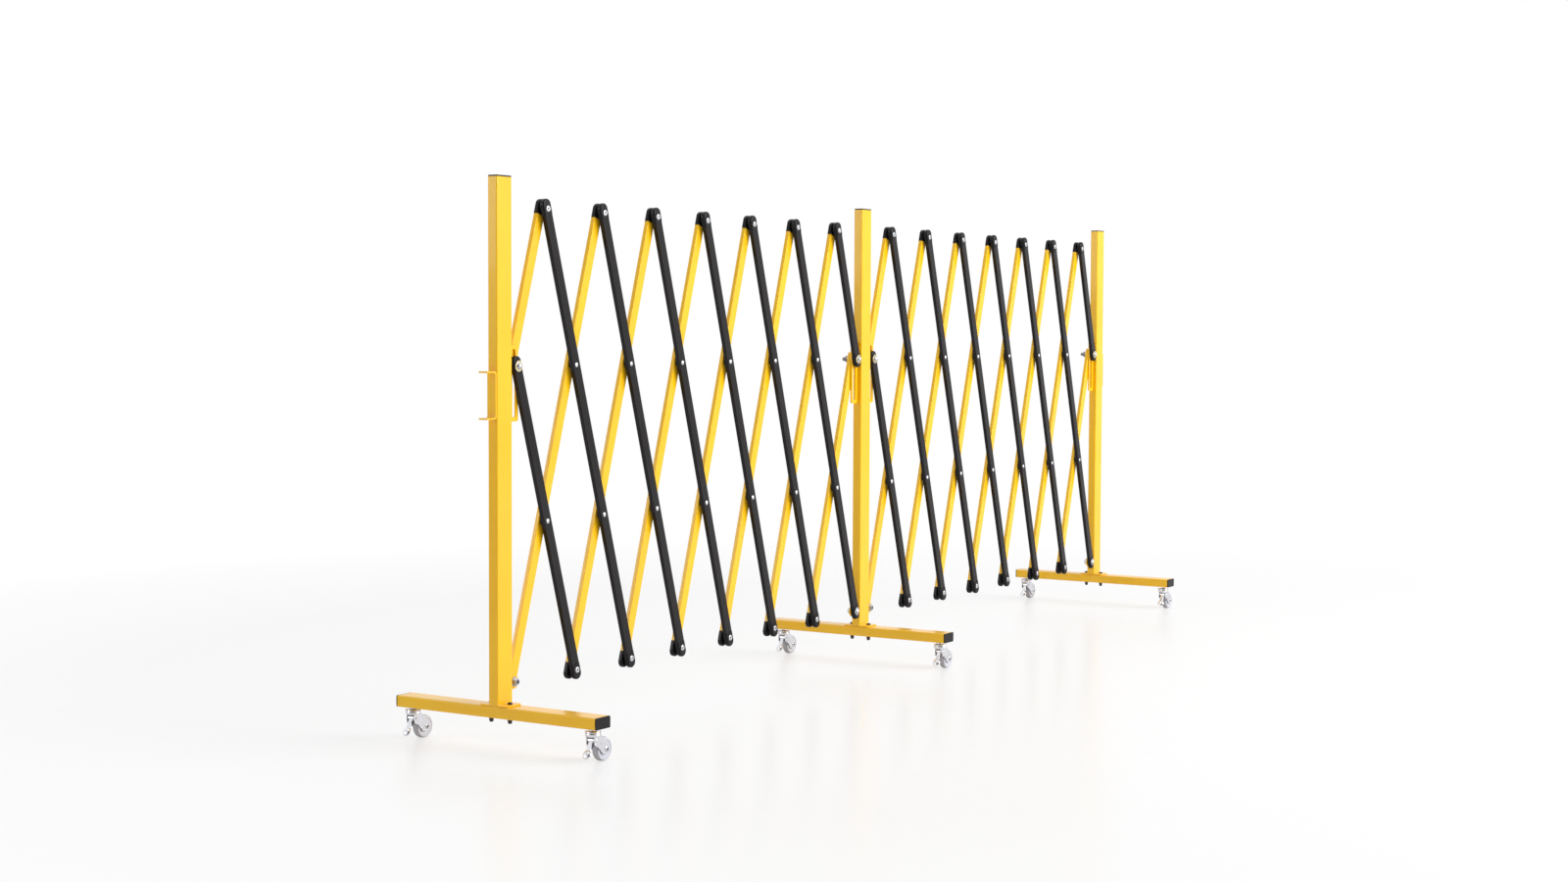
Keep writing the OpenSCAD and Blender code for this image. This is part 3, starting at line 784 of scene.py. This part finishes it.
def make_hook(s, post):
    web = post_x(post) - s.tube_w / 2 - s.hook_t / 2
    top = s.hook_z + s.hook_h / 2
    low = s.hook_z - s.hook_h / 2
    turn_x = web + s.hook_t / 2 - s.hook_bend
    run = s.hook_reach - s.hook_bend
    section = rounded_face(s.hook_w, s.hook_t, 0.5 * MM, 2)
    strip = Strip(section, at(turn_x - run, 0, top - s.hook_t / 2) @ turn(90, "Z") @ ALONG_Y)
    strip.straight((run, 0, 0))
    strip.bend((turn_x, 0, top - s.hook_bend))
    strip.straight((0, 0, low - top + 2 * s.hook_bend))
    strip.bend((turn_x, 0, low + s.hook_bend))
    strip.straight((-run, 0, 0))
    shape = Shape()
    shape.add(strip.closed(), at())
    shape.make("coupling_hook", post + "_post", ["frame_yellow_gloss"], post + "_hook")


class BARRIER_OT_hook(Step, bpy.types.Operator):
    """Makes the coupling hook: a strip with two bends"""
    bl_idname = "barrier.hook"
    bl_label = "Coupling hook"

    def execute(self, context):
        return self.each(context, make_hook, ["left"])


def tube_cap(s):
    """A flange, and below it the start of a neck that leaves a thin shadow line"""
    line = 0.5 * MM
    neck_in = 1 * MM
    face = rounded_face(s.tube_w, s.tube_t, s.tube_corner)
    flange = sheet(face, s.cap_flange - line, 0.5 * MM)
    bmesh.ops.translate(flange, vec=(0, 0, line), verts=flange.verts)
    neck = rounded_face(s.tube_w - 2 * neck_in, s.tube_t - 2 * neck_in, s.tube_corner - neck_in)
    pour(raised(neck, 2 * line), flange)
    return flange


def make_tube_caps(s, post):
    shape = Shape()
    here = at(x=post_x(post))
    shape.add(tube_cap(s), here @ at(z=s.height - s.cap_flange))
    for side in BOTH:
        end = at(y=side * (s.foot_len / 2 - s.cap_flange), z=s.castor_h + s.tube_t / 2)
        shape.add(tube_cap(s), here @ end @ turn(-90 * side, "X"))
    shape.make(post + "_tube_caps", post + "_post", ["moulded_black"], post + "_fittings")


class BARRIER_OT_tube_caps(Step, bpy.types.Operator):
    """Makes the black caps in the ends of posts and feet"""
    bl_idname = "barrier.tube_caps"
    bl_label = "Post and foot caps"

    def execute(self, context):
        return self.each(context, make_tube_caps, POSTS)


def make_foot_bolts(s, post):
    """Bolts with a pointed tail, a collar under the foot and a hollow head"""
    radius = s.bolt_d / 2
    tail = s.castor_h - 10 * MM
    seat = s.castor_h + s.tube_t + s.base_t
    profile = ([(0, tail)] + points_from(radius, tail, (-1.2, 0), (-0.5, 1.2))
               + points_from(radius, s.castor_h, (0.2, -4), (0.2, 0), (0, 0)) + [(radius, seat)]
               + points_from(0, seat, (4.6, 0), (4.6, 1.2), (4.1, 2.4), (3.2, 3.1), (2.3, 3.2),
                             (2.1, 1.2), (0, 1.2)))
    shape = Shape()
    for side in BOTH:
        shape.add(turned(profile, 24), at(post_x(post), side * s.bolt_spread, 0))
    shape.make(post + "_foot_bolts", post + "_post", ["blackened_bolt"], post + "_fittings")


def make_stem(s, castor):
    """A castor's stem and its nut, which belong to the post"""
    post = castor.split("_")[0]
    here = stem_place(s, castor)
    radius = s.bolt_d / 2
    foot = s.castor_h
    tail = foot - 13.5 * MM
    tip = foot + 10 * MM
    nut_r = radius + 3 * MM
    nut_low = foot - 4.2 * MM
    shape = Shape()
    shape.add(disc(radius, tail, tip, 24, 0.5 * MM), here)
    shape.add(disc(nut_r, nut_low, foot, 32, 0.6 * MM), here)
    shape.make(castor + "_stem", post + "_post", ["bright_chrome"], post + "_fittings")


class BARRIER_OT_foot_bolts(Step, bpy.types.Operator):
    """Makes the bolts that hold each post on its foot, and the castors' stems and nuts"""
    bl_idname = "barrier.foot_bolts"
    bl_label = "Foot bolts and castor stems"

    def execute(self, context):
        self.each(context, make_foot_bolts, POSTS)
        return self.each(context, make_stem, CASTORS)


# Bolts at the pivots and in the slots: radius of a head, width of a nut, a washer's radius and
# thickness, and its thickness with the gap beside it
HEAD_R = 6.5 * MM
NUT_W = 13 * MM
WASHER_R = 8.5 * MM
WASHER_T = 1.6 * MM
WASHER_STEP = 1.7 * MM


def nut(height):
    """A hexagon on Z 0 with eased edges"""
    part = bmesh.new()
    corner = NUT_W / 2 / math.cos(math.pi / 6)
    bmesh.ops.create_circle(part, cap_ends=True, segments=6, radius=corner)
    return sheet(part, height, 0.5 * MM)


def make_pivot_bolts(s, post):
    """Bolts with nuts at the back, each nut with a collar around a dark eye, a disc of painted shade
    at the bolt's end
    """
    radius = s.bolt_d / 2
    head_h = 3.5 * MM
    back = -s.plate_t / 2 - WASHER_STEP
    nut_low = back - 4.3 * MM
    nut_h = 4.2 * MM
    tail = back - 5.2 * MM
    eye_shade_z = back - 5.4 * MM
    collar_r = 5.8 * MM
    collar_low = back - 6 * MM
    collar_high = back - 4 * MM
    pin_z = joint_place("right_fold").z
    shape = Shape()
    for side in pivot_sides(post):
        face = s.bar_in + s.bar_t if side > 0 else s.cap_out
        here = at(post_x(post) + side * (s.tube_w / 2 + s.pivot_out), 0, pin_z)
        here = here @ squeeze(y=side) @ ALONG_Y
        top = face + WASHER_STEP
        shape.add(disc(radius - 0.7 * MM, tail, top, 24, 0.6 * MM), here)
        shape.add(turned(dome(HEAD_R, head_h), 32), here @ at(z=top))
        for start in (face + 0.05 * MM, back):
            shape.add(disc(WASHER_R, start, start + WASHER_T, 40, bore=radius), here)
        shape.add(nut(nut_h), here @ at(z=nut_low))
        shape.add(disc(collar_r, collar_low, collar_high, 32, 0.9 * MM, radius - 0.6 * MM), here)
        # The eye is a blackened disc on the bolt's end: painted shade of the hole in it
        eye = [(0, 0)] + points_from(radius, 0, (-0.5, 0), (-0.5, 0.6))
        shape.add(turned(eye, 24), here @ at(z=eye_shade_z), 1)
    shape.make(post + "_pivot_bolts", post + "_post",
               ["zinc_plate", "blackened_bolt"], post + "_fittings")


class BARRIER_OT_pivot_bolts(Step, bpy.types.Operator):
    """Makes the bolts, washers and lock nuts of the fixed pivots in the tabs"""
    bl_idname = "barrier.pivot_bolts"
    bl_label = "Pivot bolts"

    def execute(self, context):
        return self.each(context, make_pivot_bolts, POSTS)


# Lattice

def plug_ends(s, tube, plain, length):
    """Sinks a dark plug into each plain end of a tube"""
    sunk_by = 0.6 * MM
    for is_plain, level, way in ((plain[0], 0.0, 1), (plain[1], length, -1)):
        if not is_plain:
            continue
        ends = [face for face in tube.faces if abs(face.normal.z) > 0.9
                and abs(face.calc_center_median().z - level) < 0.1 * MM]
        bmesh.ops.inset_region(tube, faces=ends, thickness=s.bar_wall, use_even_offset=True)
        sunk = bmesh.ops.extrude_face_region(tube, geom=ends)["geom"]
        bmesh.ops.translate(tube, vec=(0, 0, way * sunk_by), verts=of_kind(sunk, bmesh.types.BMVert))
        for face in of_kind(sunk, bmesh.types.BMFace):
            face.material_index = 1


def make_bar(s, bar):
    first, last = bar.ends
    in_cap = s.cap_reach - s.cap_r + 1.5 * MM
    plain = [bar.shade == "yellow" and bar.at_post(level) for level in bar.ends]
    low = first * s.bar_pitch - (s.plain_reach if plain[0] else in_cap)
    high = last * s.bar_pitch + (s.plain_reach if plain[1] else in_cap)
    tube = raised(rounded_face(s.bar_w, s.bar_t, s.bar_corner), high - low)
    plug_ends(s, tube, plain, high - low)
    shape = Shape()
    shape.add(tube, bar.place() @ at(0, s.bar_in + s.bar_t / 2, low), None)
    paint = "bar_yellow_gloss" if bar.shade == "yellow" else "bar_black_satin"
    shape.make(f"{bar.section}_{bar.shade}_tube_{bar.number}", bar.node,
               [paint, "moulded_black"], bar.node)


class BARRIER_OT_bars(Step, bpy.types.Operator):
    """Makes the flat tubes of the lattices, with dark plugs where an end is left plain"""
    bl_idname = "barrier.bars"
    bl_label = "Lattice bars"

    def execute(self, context):
        return self.each(context, make_bar, bars())


def bar_cap(s):
    """A cap over the lower end of a bar, about its pivot"""
    shoulder = s.cap_neck - 4 * MM
    side = s.cap_r - 0.2 * MM
    neck_x = side - 0.2 * MM
    corner = side - HAIR
    face = flat_face([(-side, -s.cap_reach), (side, -s.cap_reach), (side, shoulder),
                      (neck_x, s.cap_neck), (-neck_x, s.cap_neck), (-side, shoulder)],
                     {0: corner, 1: corner}, 10)
    return eased(raised(face, s.cap_out - s.cap_in), 2.8 * MM, 6, up_to=s.cap_neck)


def make_bar_caps(s, bar):
    """The caps of a bar, if it has any"""
    shape = Shape()
    capped = [(level, way) for level, way in zip(bar.ends, (1, -1))
              if bar.shade == "black" or not bar.at_post(level)]
    for level, way in capped:
        shape.add(bar_cap(s), bar.pivot(s, level) @ squeeze(z=way) @ upright(s.cap_out))
    if capped:
        shape.make(f"{bar.section}_{bar.shade}_caps_{bar.number}", bar.node,
                   ["moulded_black"], bar.node)


class BARRIER_OT_bar_caps(Step, bpy.types.Operator):
    """Makes the black caps over the bars' ends"""
    bl_idname = "barrier.bar_caps"
    bl_label = "Bar caps"

    def execute(self, context):
        return self.each(context, make_bar_caps, bars())


def tip_rivet(s):
    """A tube with a rolled head at each end"""
    eye = 1.75 * MM
    rim = s.tip_head_d / 2
    face = s.cap_out
    top = face + 1.3 * MM
    half = ([(eye, 0)] + points_from(eye, top, (0, -0.9), (0.3, -0.3), (1, 0))
            + points_from(rim, top, (-1.4, 0), (-0.4, -0.4))
            + points_from(rim, face, (0, 0.3), (0, 0)) + [(s.rivet_d / 2, face)])
    return turned(half + mirror(half), 28, True)


def cross_rivet(s):
    face = s.bar_in + s.bar_t
    head = [(radius, face + height) for radius, height in dome(s.dome_head_d / 2, 1.3 * MM)]
    return turned(mirror(head) + head, 28)


def make_rivets(s, bar):
    """The rivets that a bar carries, each with a spacer on it"""
    shape = Shape()
    first, last = bar.ends
    for level in range(first, last + 1):
        if bar.at_post(level):
            continue
        here = bar.pivot(s, level) @ ALONG_Y
        tip = level in (0, ROWS)
        shape.add(tip_rivet(s) if tip else cross_rivet(s), here)
        gap = s.cap_in if tip else s.bar_in
        shape.add(disc(s.spacer_d / 2, -gap, gap, 28, bore=s.rivet_d / 2), here, 1)
    shape.make(f"{bar.section}_rivets_{bar.number}", bar.node,
               ["zinc_plate", "moulded_black"], bar.node)


class BARRIER_OT_rivets(Step, bpy.types.Operator):
    """Makes the tubular rivets at the tips, the domed ones at the crossings, and the spacers"""
    bl_idname = "barrier.rivets"
    bl_label = "Rivets and spacers"

    def execute(self, context):
        return self.each(context, make_rivets, bars(["black"]))


def make_slot_pin(s, bar):
    radius = s.bolt_d / 2
    front = s.cap_out
    head_h = 4.5 * MM
    wide_washer_r = 9.5 * MM
    back = -s.bar_in - s.bar_t
    nut_low = back - 8.3 * MM
    nut_h = 6.5 * MM
    tail = back - 16 * MM
    shape = Shape()
    for level in bar.ends:
        if level == 0 or not bar.at_post(level):
            continue
        here = bar.pivot(s, level) @ ALONG_Y
        # The shank and the nut take the darker zinc: painted shade and dark reflection behind the bars
        shape.add(disc(radius, tail, front + WASHER_STEP, 24, 0.8 * MM), here, 2)
        shape.add(turned(dome(HEAD_R, head_h), 32), here @ at(z=front + WASHER_STEP))
        shape.add(disc(wide_washer_r, front, front + WASHER_T, 40, bore=radius), here, 1)
        shape.add(disc(WASHER_R, back - WASHER_STEP, back - 0.1 * MM, 40, bore=radius), here, 1)
        shape.add(nut(nut_h), here @ at(z=nut_low), 2)
    shape.make(f"{bar.section}_slot_pin_{bar.number}", bar.node,
               ["zinc_plate", "pale_gold_plate", "painted_shade_zinc_plate"], bar.node)


class BARRIER_OT_slot_pins(Step, bpy.types.Operator):
    """Makes the bolts that slide in the brackets' slots, with their washers and nuts"""
    bl_idname = "barrier.slot_pins"
    bl_label = "Slot pins"

    def execute(self, context):
        return self.each(context, make_slot_pin, bars(["black"], (1, BARS)))


# Castors

# Thickness of a fork's cheek, and its distance from the wheel
CHEEK_T = 2 * MM
CHEEK_GAP = 1 * MM


def hinge_place(s):
    """Where a brake pedal turns, seen from the castor's stem at the floor"""
    return Vector((-3 * MM, 0, s.castor_h - 20 * MM))


def axle_place(s):
    """Where the wheel turns, seen from the same point"""
    return Vector((s.trail, 0, s.wheel_d / 2))


def fork_head(s):
    """Bearing disc, ball race and the cup that the cheeks hang from"""
    rim = s.fork_d / 2
    top = s.castor_h - 4.5 * MM
    bore = s.bolt_d / 2 + 0.15 * MM
    outside = points_from(
        rim, top, (-4, 0), (-1.5, -0.2), (-0.3, -0.8), (0, -1.5), (-0.3, -2.1), (-2.5, -2.4),
        (-2.6, -3.1), (-1, -3.5), (-0.5, -4.2), (-0.6, -6.5), (-1.2, -8.5), (-2.2, -9.5))
    return turned([(bore, top)] + outside + [(bore, outside[-1][1])], 48, True)


def fork_cheek(s):
    """One side of the fork: a pressed leg that sweeps back to the axle"""
    face = flat_face(
        points_from(0, 0, (-7, 47), (-7, 28.5), (2, 26.5))
        + points_from(s.trail, s.wheel_d / 2, (-8.5, -8), (8, -8), (8, 4))
        + points_from(0, 0, (10, 47)),
        {1: 5 * MM, 2: 3 * MM, 3: 4 * MM, 4: 7.9 * MM, 5: 6 * MM}, 8)
    return sheet(face, CHEEK_T, 0.7 * MM, 3)


def make_fork(s, castor):
    """A fork with the heads of its axle and of the pedal's pin on both sides"""
    inner = s.wheel_w / 2 + CHEEK_GAP
    outer = inner + CHEEK_T
    axle_rim = points_from(0, 0, (4.5, 0), (4.4, 0.5), (3.6, 1.1), (2.7, 1.2), (2.4, 0.9))
    axle_eye_shade = points_from(0, 0, (2.4, 0.9), (2.2, 0.2), (0, 0.15))
    here = stem_place(s, castor)
    axle = Matrix.Translation(axle_place(s)) @ ALONG_Y
    hinge = Matrix.Translation(hinge_place(s)) @ ALONG_Y
    shape = Shape()
    shape.add(fork_head(s), here)
    for side in BOTH:
        out = here @ squeeze(y=side)
        shape.add(fork_cheek(s), out @ upright(outer))
        shape.add(turned(axle_rim, 28), out @ axle @ at(z=outer), 1)
        # The axle's eye takes the blackened finish: painted shade on the floor of the hollow
        shape.add(turned(axle_eye_shade, 28), out @ axle @ at(z=outer), 2)
        shape.add(turned(dome(2.75 * MM, 1.2 * MM), 20), out @ hinge @ at(z=outer), 1)
    for middle, radius in ((axle, 2.5 * MM), (hinge, 1.5 * MM)):
        reach = inner + CHEEK_T / 2
        shape.add(disc(radius, -reach, reach, 20, 0.2 * MM), here @ middle, 1)
    node = castor + "_fork"
    shape.make(node + "_chrome", node,
               ["bright_chrome", "zinc_plate", "blackened_bolt"], node)


class BARRIER_OT_forks(Step, bpy.types.Operator):
    """Makes the chromed forks with their bearing discs and axle pins"""
    bl_idname = "barrier.forks"
    bl_label = "Castor forks"

    def execute(self, context):
        return self.each(context, make_fork, CASTORS)


def make_wheel(s, castor):
    rim = s.wheel_d / 2
    half = s.wheel_w / 2
    tread_from = rim - 0.6 * MM
    side = (points_from(0, half, (2.62, -0.3), (4.6, -0.3), (5.2, -0.9), (6, -1.4))
            + points_from(rim, half, (-5.6, -1.4), (-4.6, -0.7), (-4.2, -0.1), (-3.4, 0),
                          (-1.8, -0.4), (-0.7, -1.3), (-0.15, -2.6), (0, -4)))
    wheel = turned(side + mirror(side), 64, True)
    for face in wheel.faces:
        # Faces on the running surface take the darker tread finish: painted shade
        face.material_index = int(face.calc_center_median().xy.length > tread_from)
    shape = Shape()
    shape.add(wheel, stem_place(s, castor) @ Matrix.Translation(axle_place(s)) @ ALONG_Y, None)
    node = castor + "_wheel"
    shape.make(node + "_moulded", node, ["wheel_grey", "tread_painted_shade"], node)


class BARRIER_OT_wheels(Step, bpy.types.Operator):
    """Makes the wheels with rounded shoulders, dished sides and hubs"""
    bl_idname = "barrier.wheels"
    bl_label = "Castor wheels"

    def execute(self, context):
        return self.each(context, make_wheel, CASTORS)


def make_pedal(s, castor):
    half = s.wheel_w / 2
    hinge = hinge_place(s)
    to_axle = axle_place(s) - hinge
    cam_end = to_axle.length - s.wheel_d / 2 - 0.4 * MM
    aim = math.degrees(math.atan2(-to_axle.z, to_axle.x))
    barrel_r = 3.5 * MM
    lever_tilt = 31
    lever_in = 1.9 * MM
    lever_x = 4 * MM
    lever_y = -24 * MM
    lever_t = 2.2 * MM
    pad_y = -26 * MM
    pad_edge = points_from(
        0, 0, (0, -2.8), (1.2, -2.7), (2, -2.2), (2.5, -1.6), (3.8, -1.7), (6, -1.1), (7.3, 0.1),
        (7.9, 1.2), (7.6, 2.1), (6.9, 2.5), (6, 1.8), (4.6, 1), (0, 0.6))
    shape = Shape()
    pivot = stem_place(s, castor) @ Matrix.Translation(hinge)
    shape.add(disc(barrel_r, -half, half, 28, 0.6 * MM), pivot @ ALONG_Y)
    cam = flat_face([(0, -3.4 * MM), (cam_end, -2 * MM), (cam_end, 2 * MM), (0, 3.4 * MM)],
                    {1: 1.9 * MM, 2: 1.9 * MM})
    shape.add(sheet(cam, 2 * half, 0.4 * MM), pivot @ turn(aim, "Y") @ upright(half))
    lever = flat_face([(-lever_x, lever_y), (lever_x, lever_y), (lever_x, 0), (-lever_x, 0)])
    tilt = pivot @ turn(lever_tilt, "Y") @ at(x=-lever_in) @ FACING_X
    shape.add(sheet(lever, lever_t, 0.7 * MM, 3), tilt)
    shape.add(turned(pad_edge, 36), tilt @ at(y=pad_y))
    node = castor + "_pedal"
    shape.make(node + "_chrome", node, ["bright_chrome"], node)


class BARRIER_OT_pedals(Step, bpy.types.Operator):
    """Makes the brake pedals: a barrel, a cam that meets the tread, and a lever with its pad"""
    bl_idname = "barrier.pedals"
    bl_label = "Brake pedals"

    def execute(self, context):
        return self.each(context, make_pedal, CASTORS)


# Studio

# Place, aim and extent in metres, and power in watts
LAMPS = {
    "key": ((1.6, -5.4, 2.6), (0.0, 0.0, 0.4), (4.5, 3.0), 345),
    "overhead": ((0.0, 0.5, 4.2), (0.0, 0.0, 0.0), (5.0, 3.5), 60),
    "side": ((-4.6, 2.6, 1.7), (-0.4, 0.0, 0.6), (2.4, 1.6), 37),
}
FLOOR_HALF = 9.0
# Towards the darker side of the room, behind the camera
ROOM_SIDE = (-0.863, -0.490, 0.122)
# The camera as fitted to the photograph: metres, radians and millimetres of lens
CAMERA_PLACE = (-4.19273, -2.40509, 0.72078)
YAW = 0.55515
PITCH = 0.05095
ROLL = 0.00452
LENS = 51.862
WHITE = (1, 1, 1, 1)


def add_floor(tone):
    """A glossy floor that turns plain white away from the barrier, to the camera only"""
    part = bmesh.new()
    bmesh.ops.create_grid(part, x_segments=1, y_segments=1, size=FLOOR_HALF)
    mesh = bpy.data.meshes.new("studio_floor")
    part.to_mesh(mesh)
    part.free()
    f = Finish(bpy.data.materials.new("studio_floor"))
    speck = f.clouds(35, 3.0)
    shader = f.node("ShaderNodeBsdfPrincipled", inputs={
        "Base Color": f.blend(speck, solid(tone, 0.985), solid(tone)),
        "Roughness": 0.2 + 0.06 * speck, "Specular IOR Level": 0.35})
    bright = f.node("ShaderNodeEmission", inputs={"Color": WHITE, "Strength": 1.0})
    away = f.vectors("LENGTH", f.where())
    seen = f.node("ShaderNodeLightPath", output="Is Camera Ray")
    far = f.spread(away, 1.5, 2.8, 0.58, 1.0) * seen
    f.node("ShaderNodeOutputMaterial", inputs={
        "Surface": f.node("ShaderNodeMixShader", inputs={0: far, 1: shader, 2: bright})})
    mesh.materials.append(f.owner)
    floor = placed("studio_floor", mesh)


def add_surroundings():
    """White to the eye and in reflections, dim as light, with a darker room behind the camera"""
    world = bpy.data.worlds.new("studio")
    bpy.context.scene.world = world
    f = Finish(world)
    seen, mirrored, through = [f.node("ShaderNodeLightPath", output=name) for name in (
        "Is Camera Ray", "Is Glossy Ray", "Is Transmission Ray")]
    white = (seen + mirrored + through) > 0.5
    way = f.node("ShaderNodeTexCoord", output="Generated")
    room = f.spread(f.vectors("DOT_PRODUCT", way, ROOM_SIDE), 0.62, 0.90, 0.0, 0.9) * mirrored
    f.node("ShaderNodeOutputWorld", inputs={"Surface": f.node("ShaderNodeBackground", inputs={
        "Color": WHITE, "Strength": 0.37 + 0.63 * white - room})})


def add_lamp(name, place, aim, extent, power):
    light = bpy.data.lights.new(name, "AREA")
    light.shape = "RECTANGLE"
    light.size, light.size_y = extent
    light.energy = power
    lamp = placed(name, light)
    lamp.location = place
    lamp.rotation_euler = (Vector(aim) - Vector(place)).to_track_quat("-Z", "Y").to_euler()


def add_camera():
    lens = bpy.data.cameras.new("photo_angle")
    lens.sensor_width = 36.0
    lens.lens = LENS
    ahead = Vector((math.cos(YAW) * math.cos(PITCH), math.sin(YAW) * math.cos(PITCH),
                    -math.sin(PITCH)))
    level = Vector((math.sin(YAW), -math.cos(YAW), 0))
    above = level.cross(ahead)
    right = level * math.cos(ROLL) + above * math.sin(ROLL)
    up = -level * math.sin(ROLL) + above * math.cos(ROLL)
    camera = placed("photo_angle", lens)
    axes = Matrix((right, up, -ahead)).transposed().to_4x4()
    camera.matrix_world = Matrix.Translation(CAMERA_PLACE) @ axes
    bpy.context.scene.camera = camera


class BARRIER_OT_stage(Step, bpy.types.Operator):
    """Makes the floor, the surroundings, the lamps and the camera"""
    bl_idname = "barrier.stage"
    bl_label = "Stage"

    def execute(self, context):
        add_floor(context.scene.barrier_colours.floor)
        add_surroundings()
        for name, lamp in LAMPS.items():
            add_lamp(name, *lamp)
        add_camera()
        context.scene.view_settings.view_transform = "Standard"
        return {"FINISHED"}


STEPS = (
    BARRIER_OT_posts, BARRIER_OT_feet, BARRIER_OT_hook, BARRIER_OT_tube_caps, BARRIER_OT_foot_bolts,
    BARRIER_OT_pivot_bolts, BARRIER_OT_bars, BARRIER_OT_bar_caps, BARRIER_OT_rivets,
    BARRIER_OT_slot_pins, BARRIER_OT_forks, BARRIER_OT_wheels, BARRIER_OT_pedals, BARRIER_OT_stage,
)


class BARRIER_PT_panel(bpy.types.Panel):
    """Lists the barrier's pieces in the order they are made"""
    bl_label = "Barrier"
    bl_idname = "BARRIER_PT_panel"
    bl_space_type = "VIEW_3D"
    bl_region_type = "UI"
    bl_category = "Barrier"

    def draw(self, context):
        for step in STEPS:
            self.layout.operator(step.bl_idname)
        for group in (context.scene.barrier_sizes, context.scene.barrier_colours):
            box = self.layout.box()
            for name in group.__annotations__:
                box.prop(group, name)


CLASSES = (BarrierSizes, BarrierColours) + STEPS + (BARRIER_PT_panel,)


def register():
    for item in CLASSES:
        bpy.utils.register_class(item)
    bpy.types.Scene.barrier_sizes = bpy.props.PointerProperty(type=BarrierSizes)
    bpy.types.Scene.barrier_colours = bpy.props.PointerProperty(type=BarrierColours)


def unregister():
    del bpy.types.Scene.barrier_colours
    del bpy.types.Scene.barrier_sizes
    for item in reversed(CLASSES):
        bpy.utils.unregister_class(item)


def main():
    register()
    for step in STEPS:
        family, name = step.bl_idname.split(".")
        getattr(getattr(bpy.ops, family), name)()


if __name__ == "__main__":
    main()
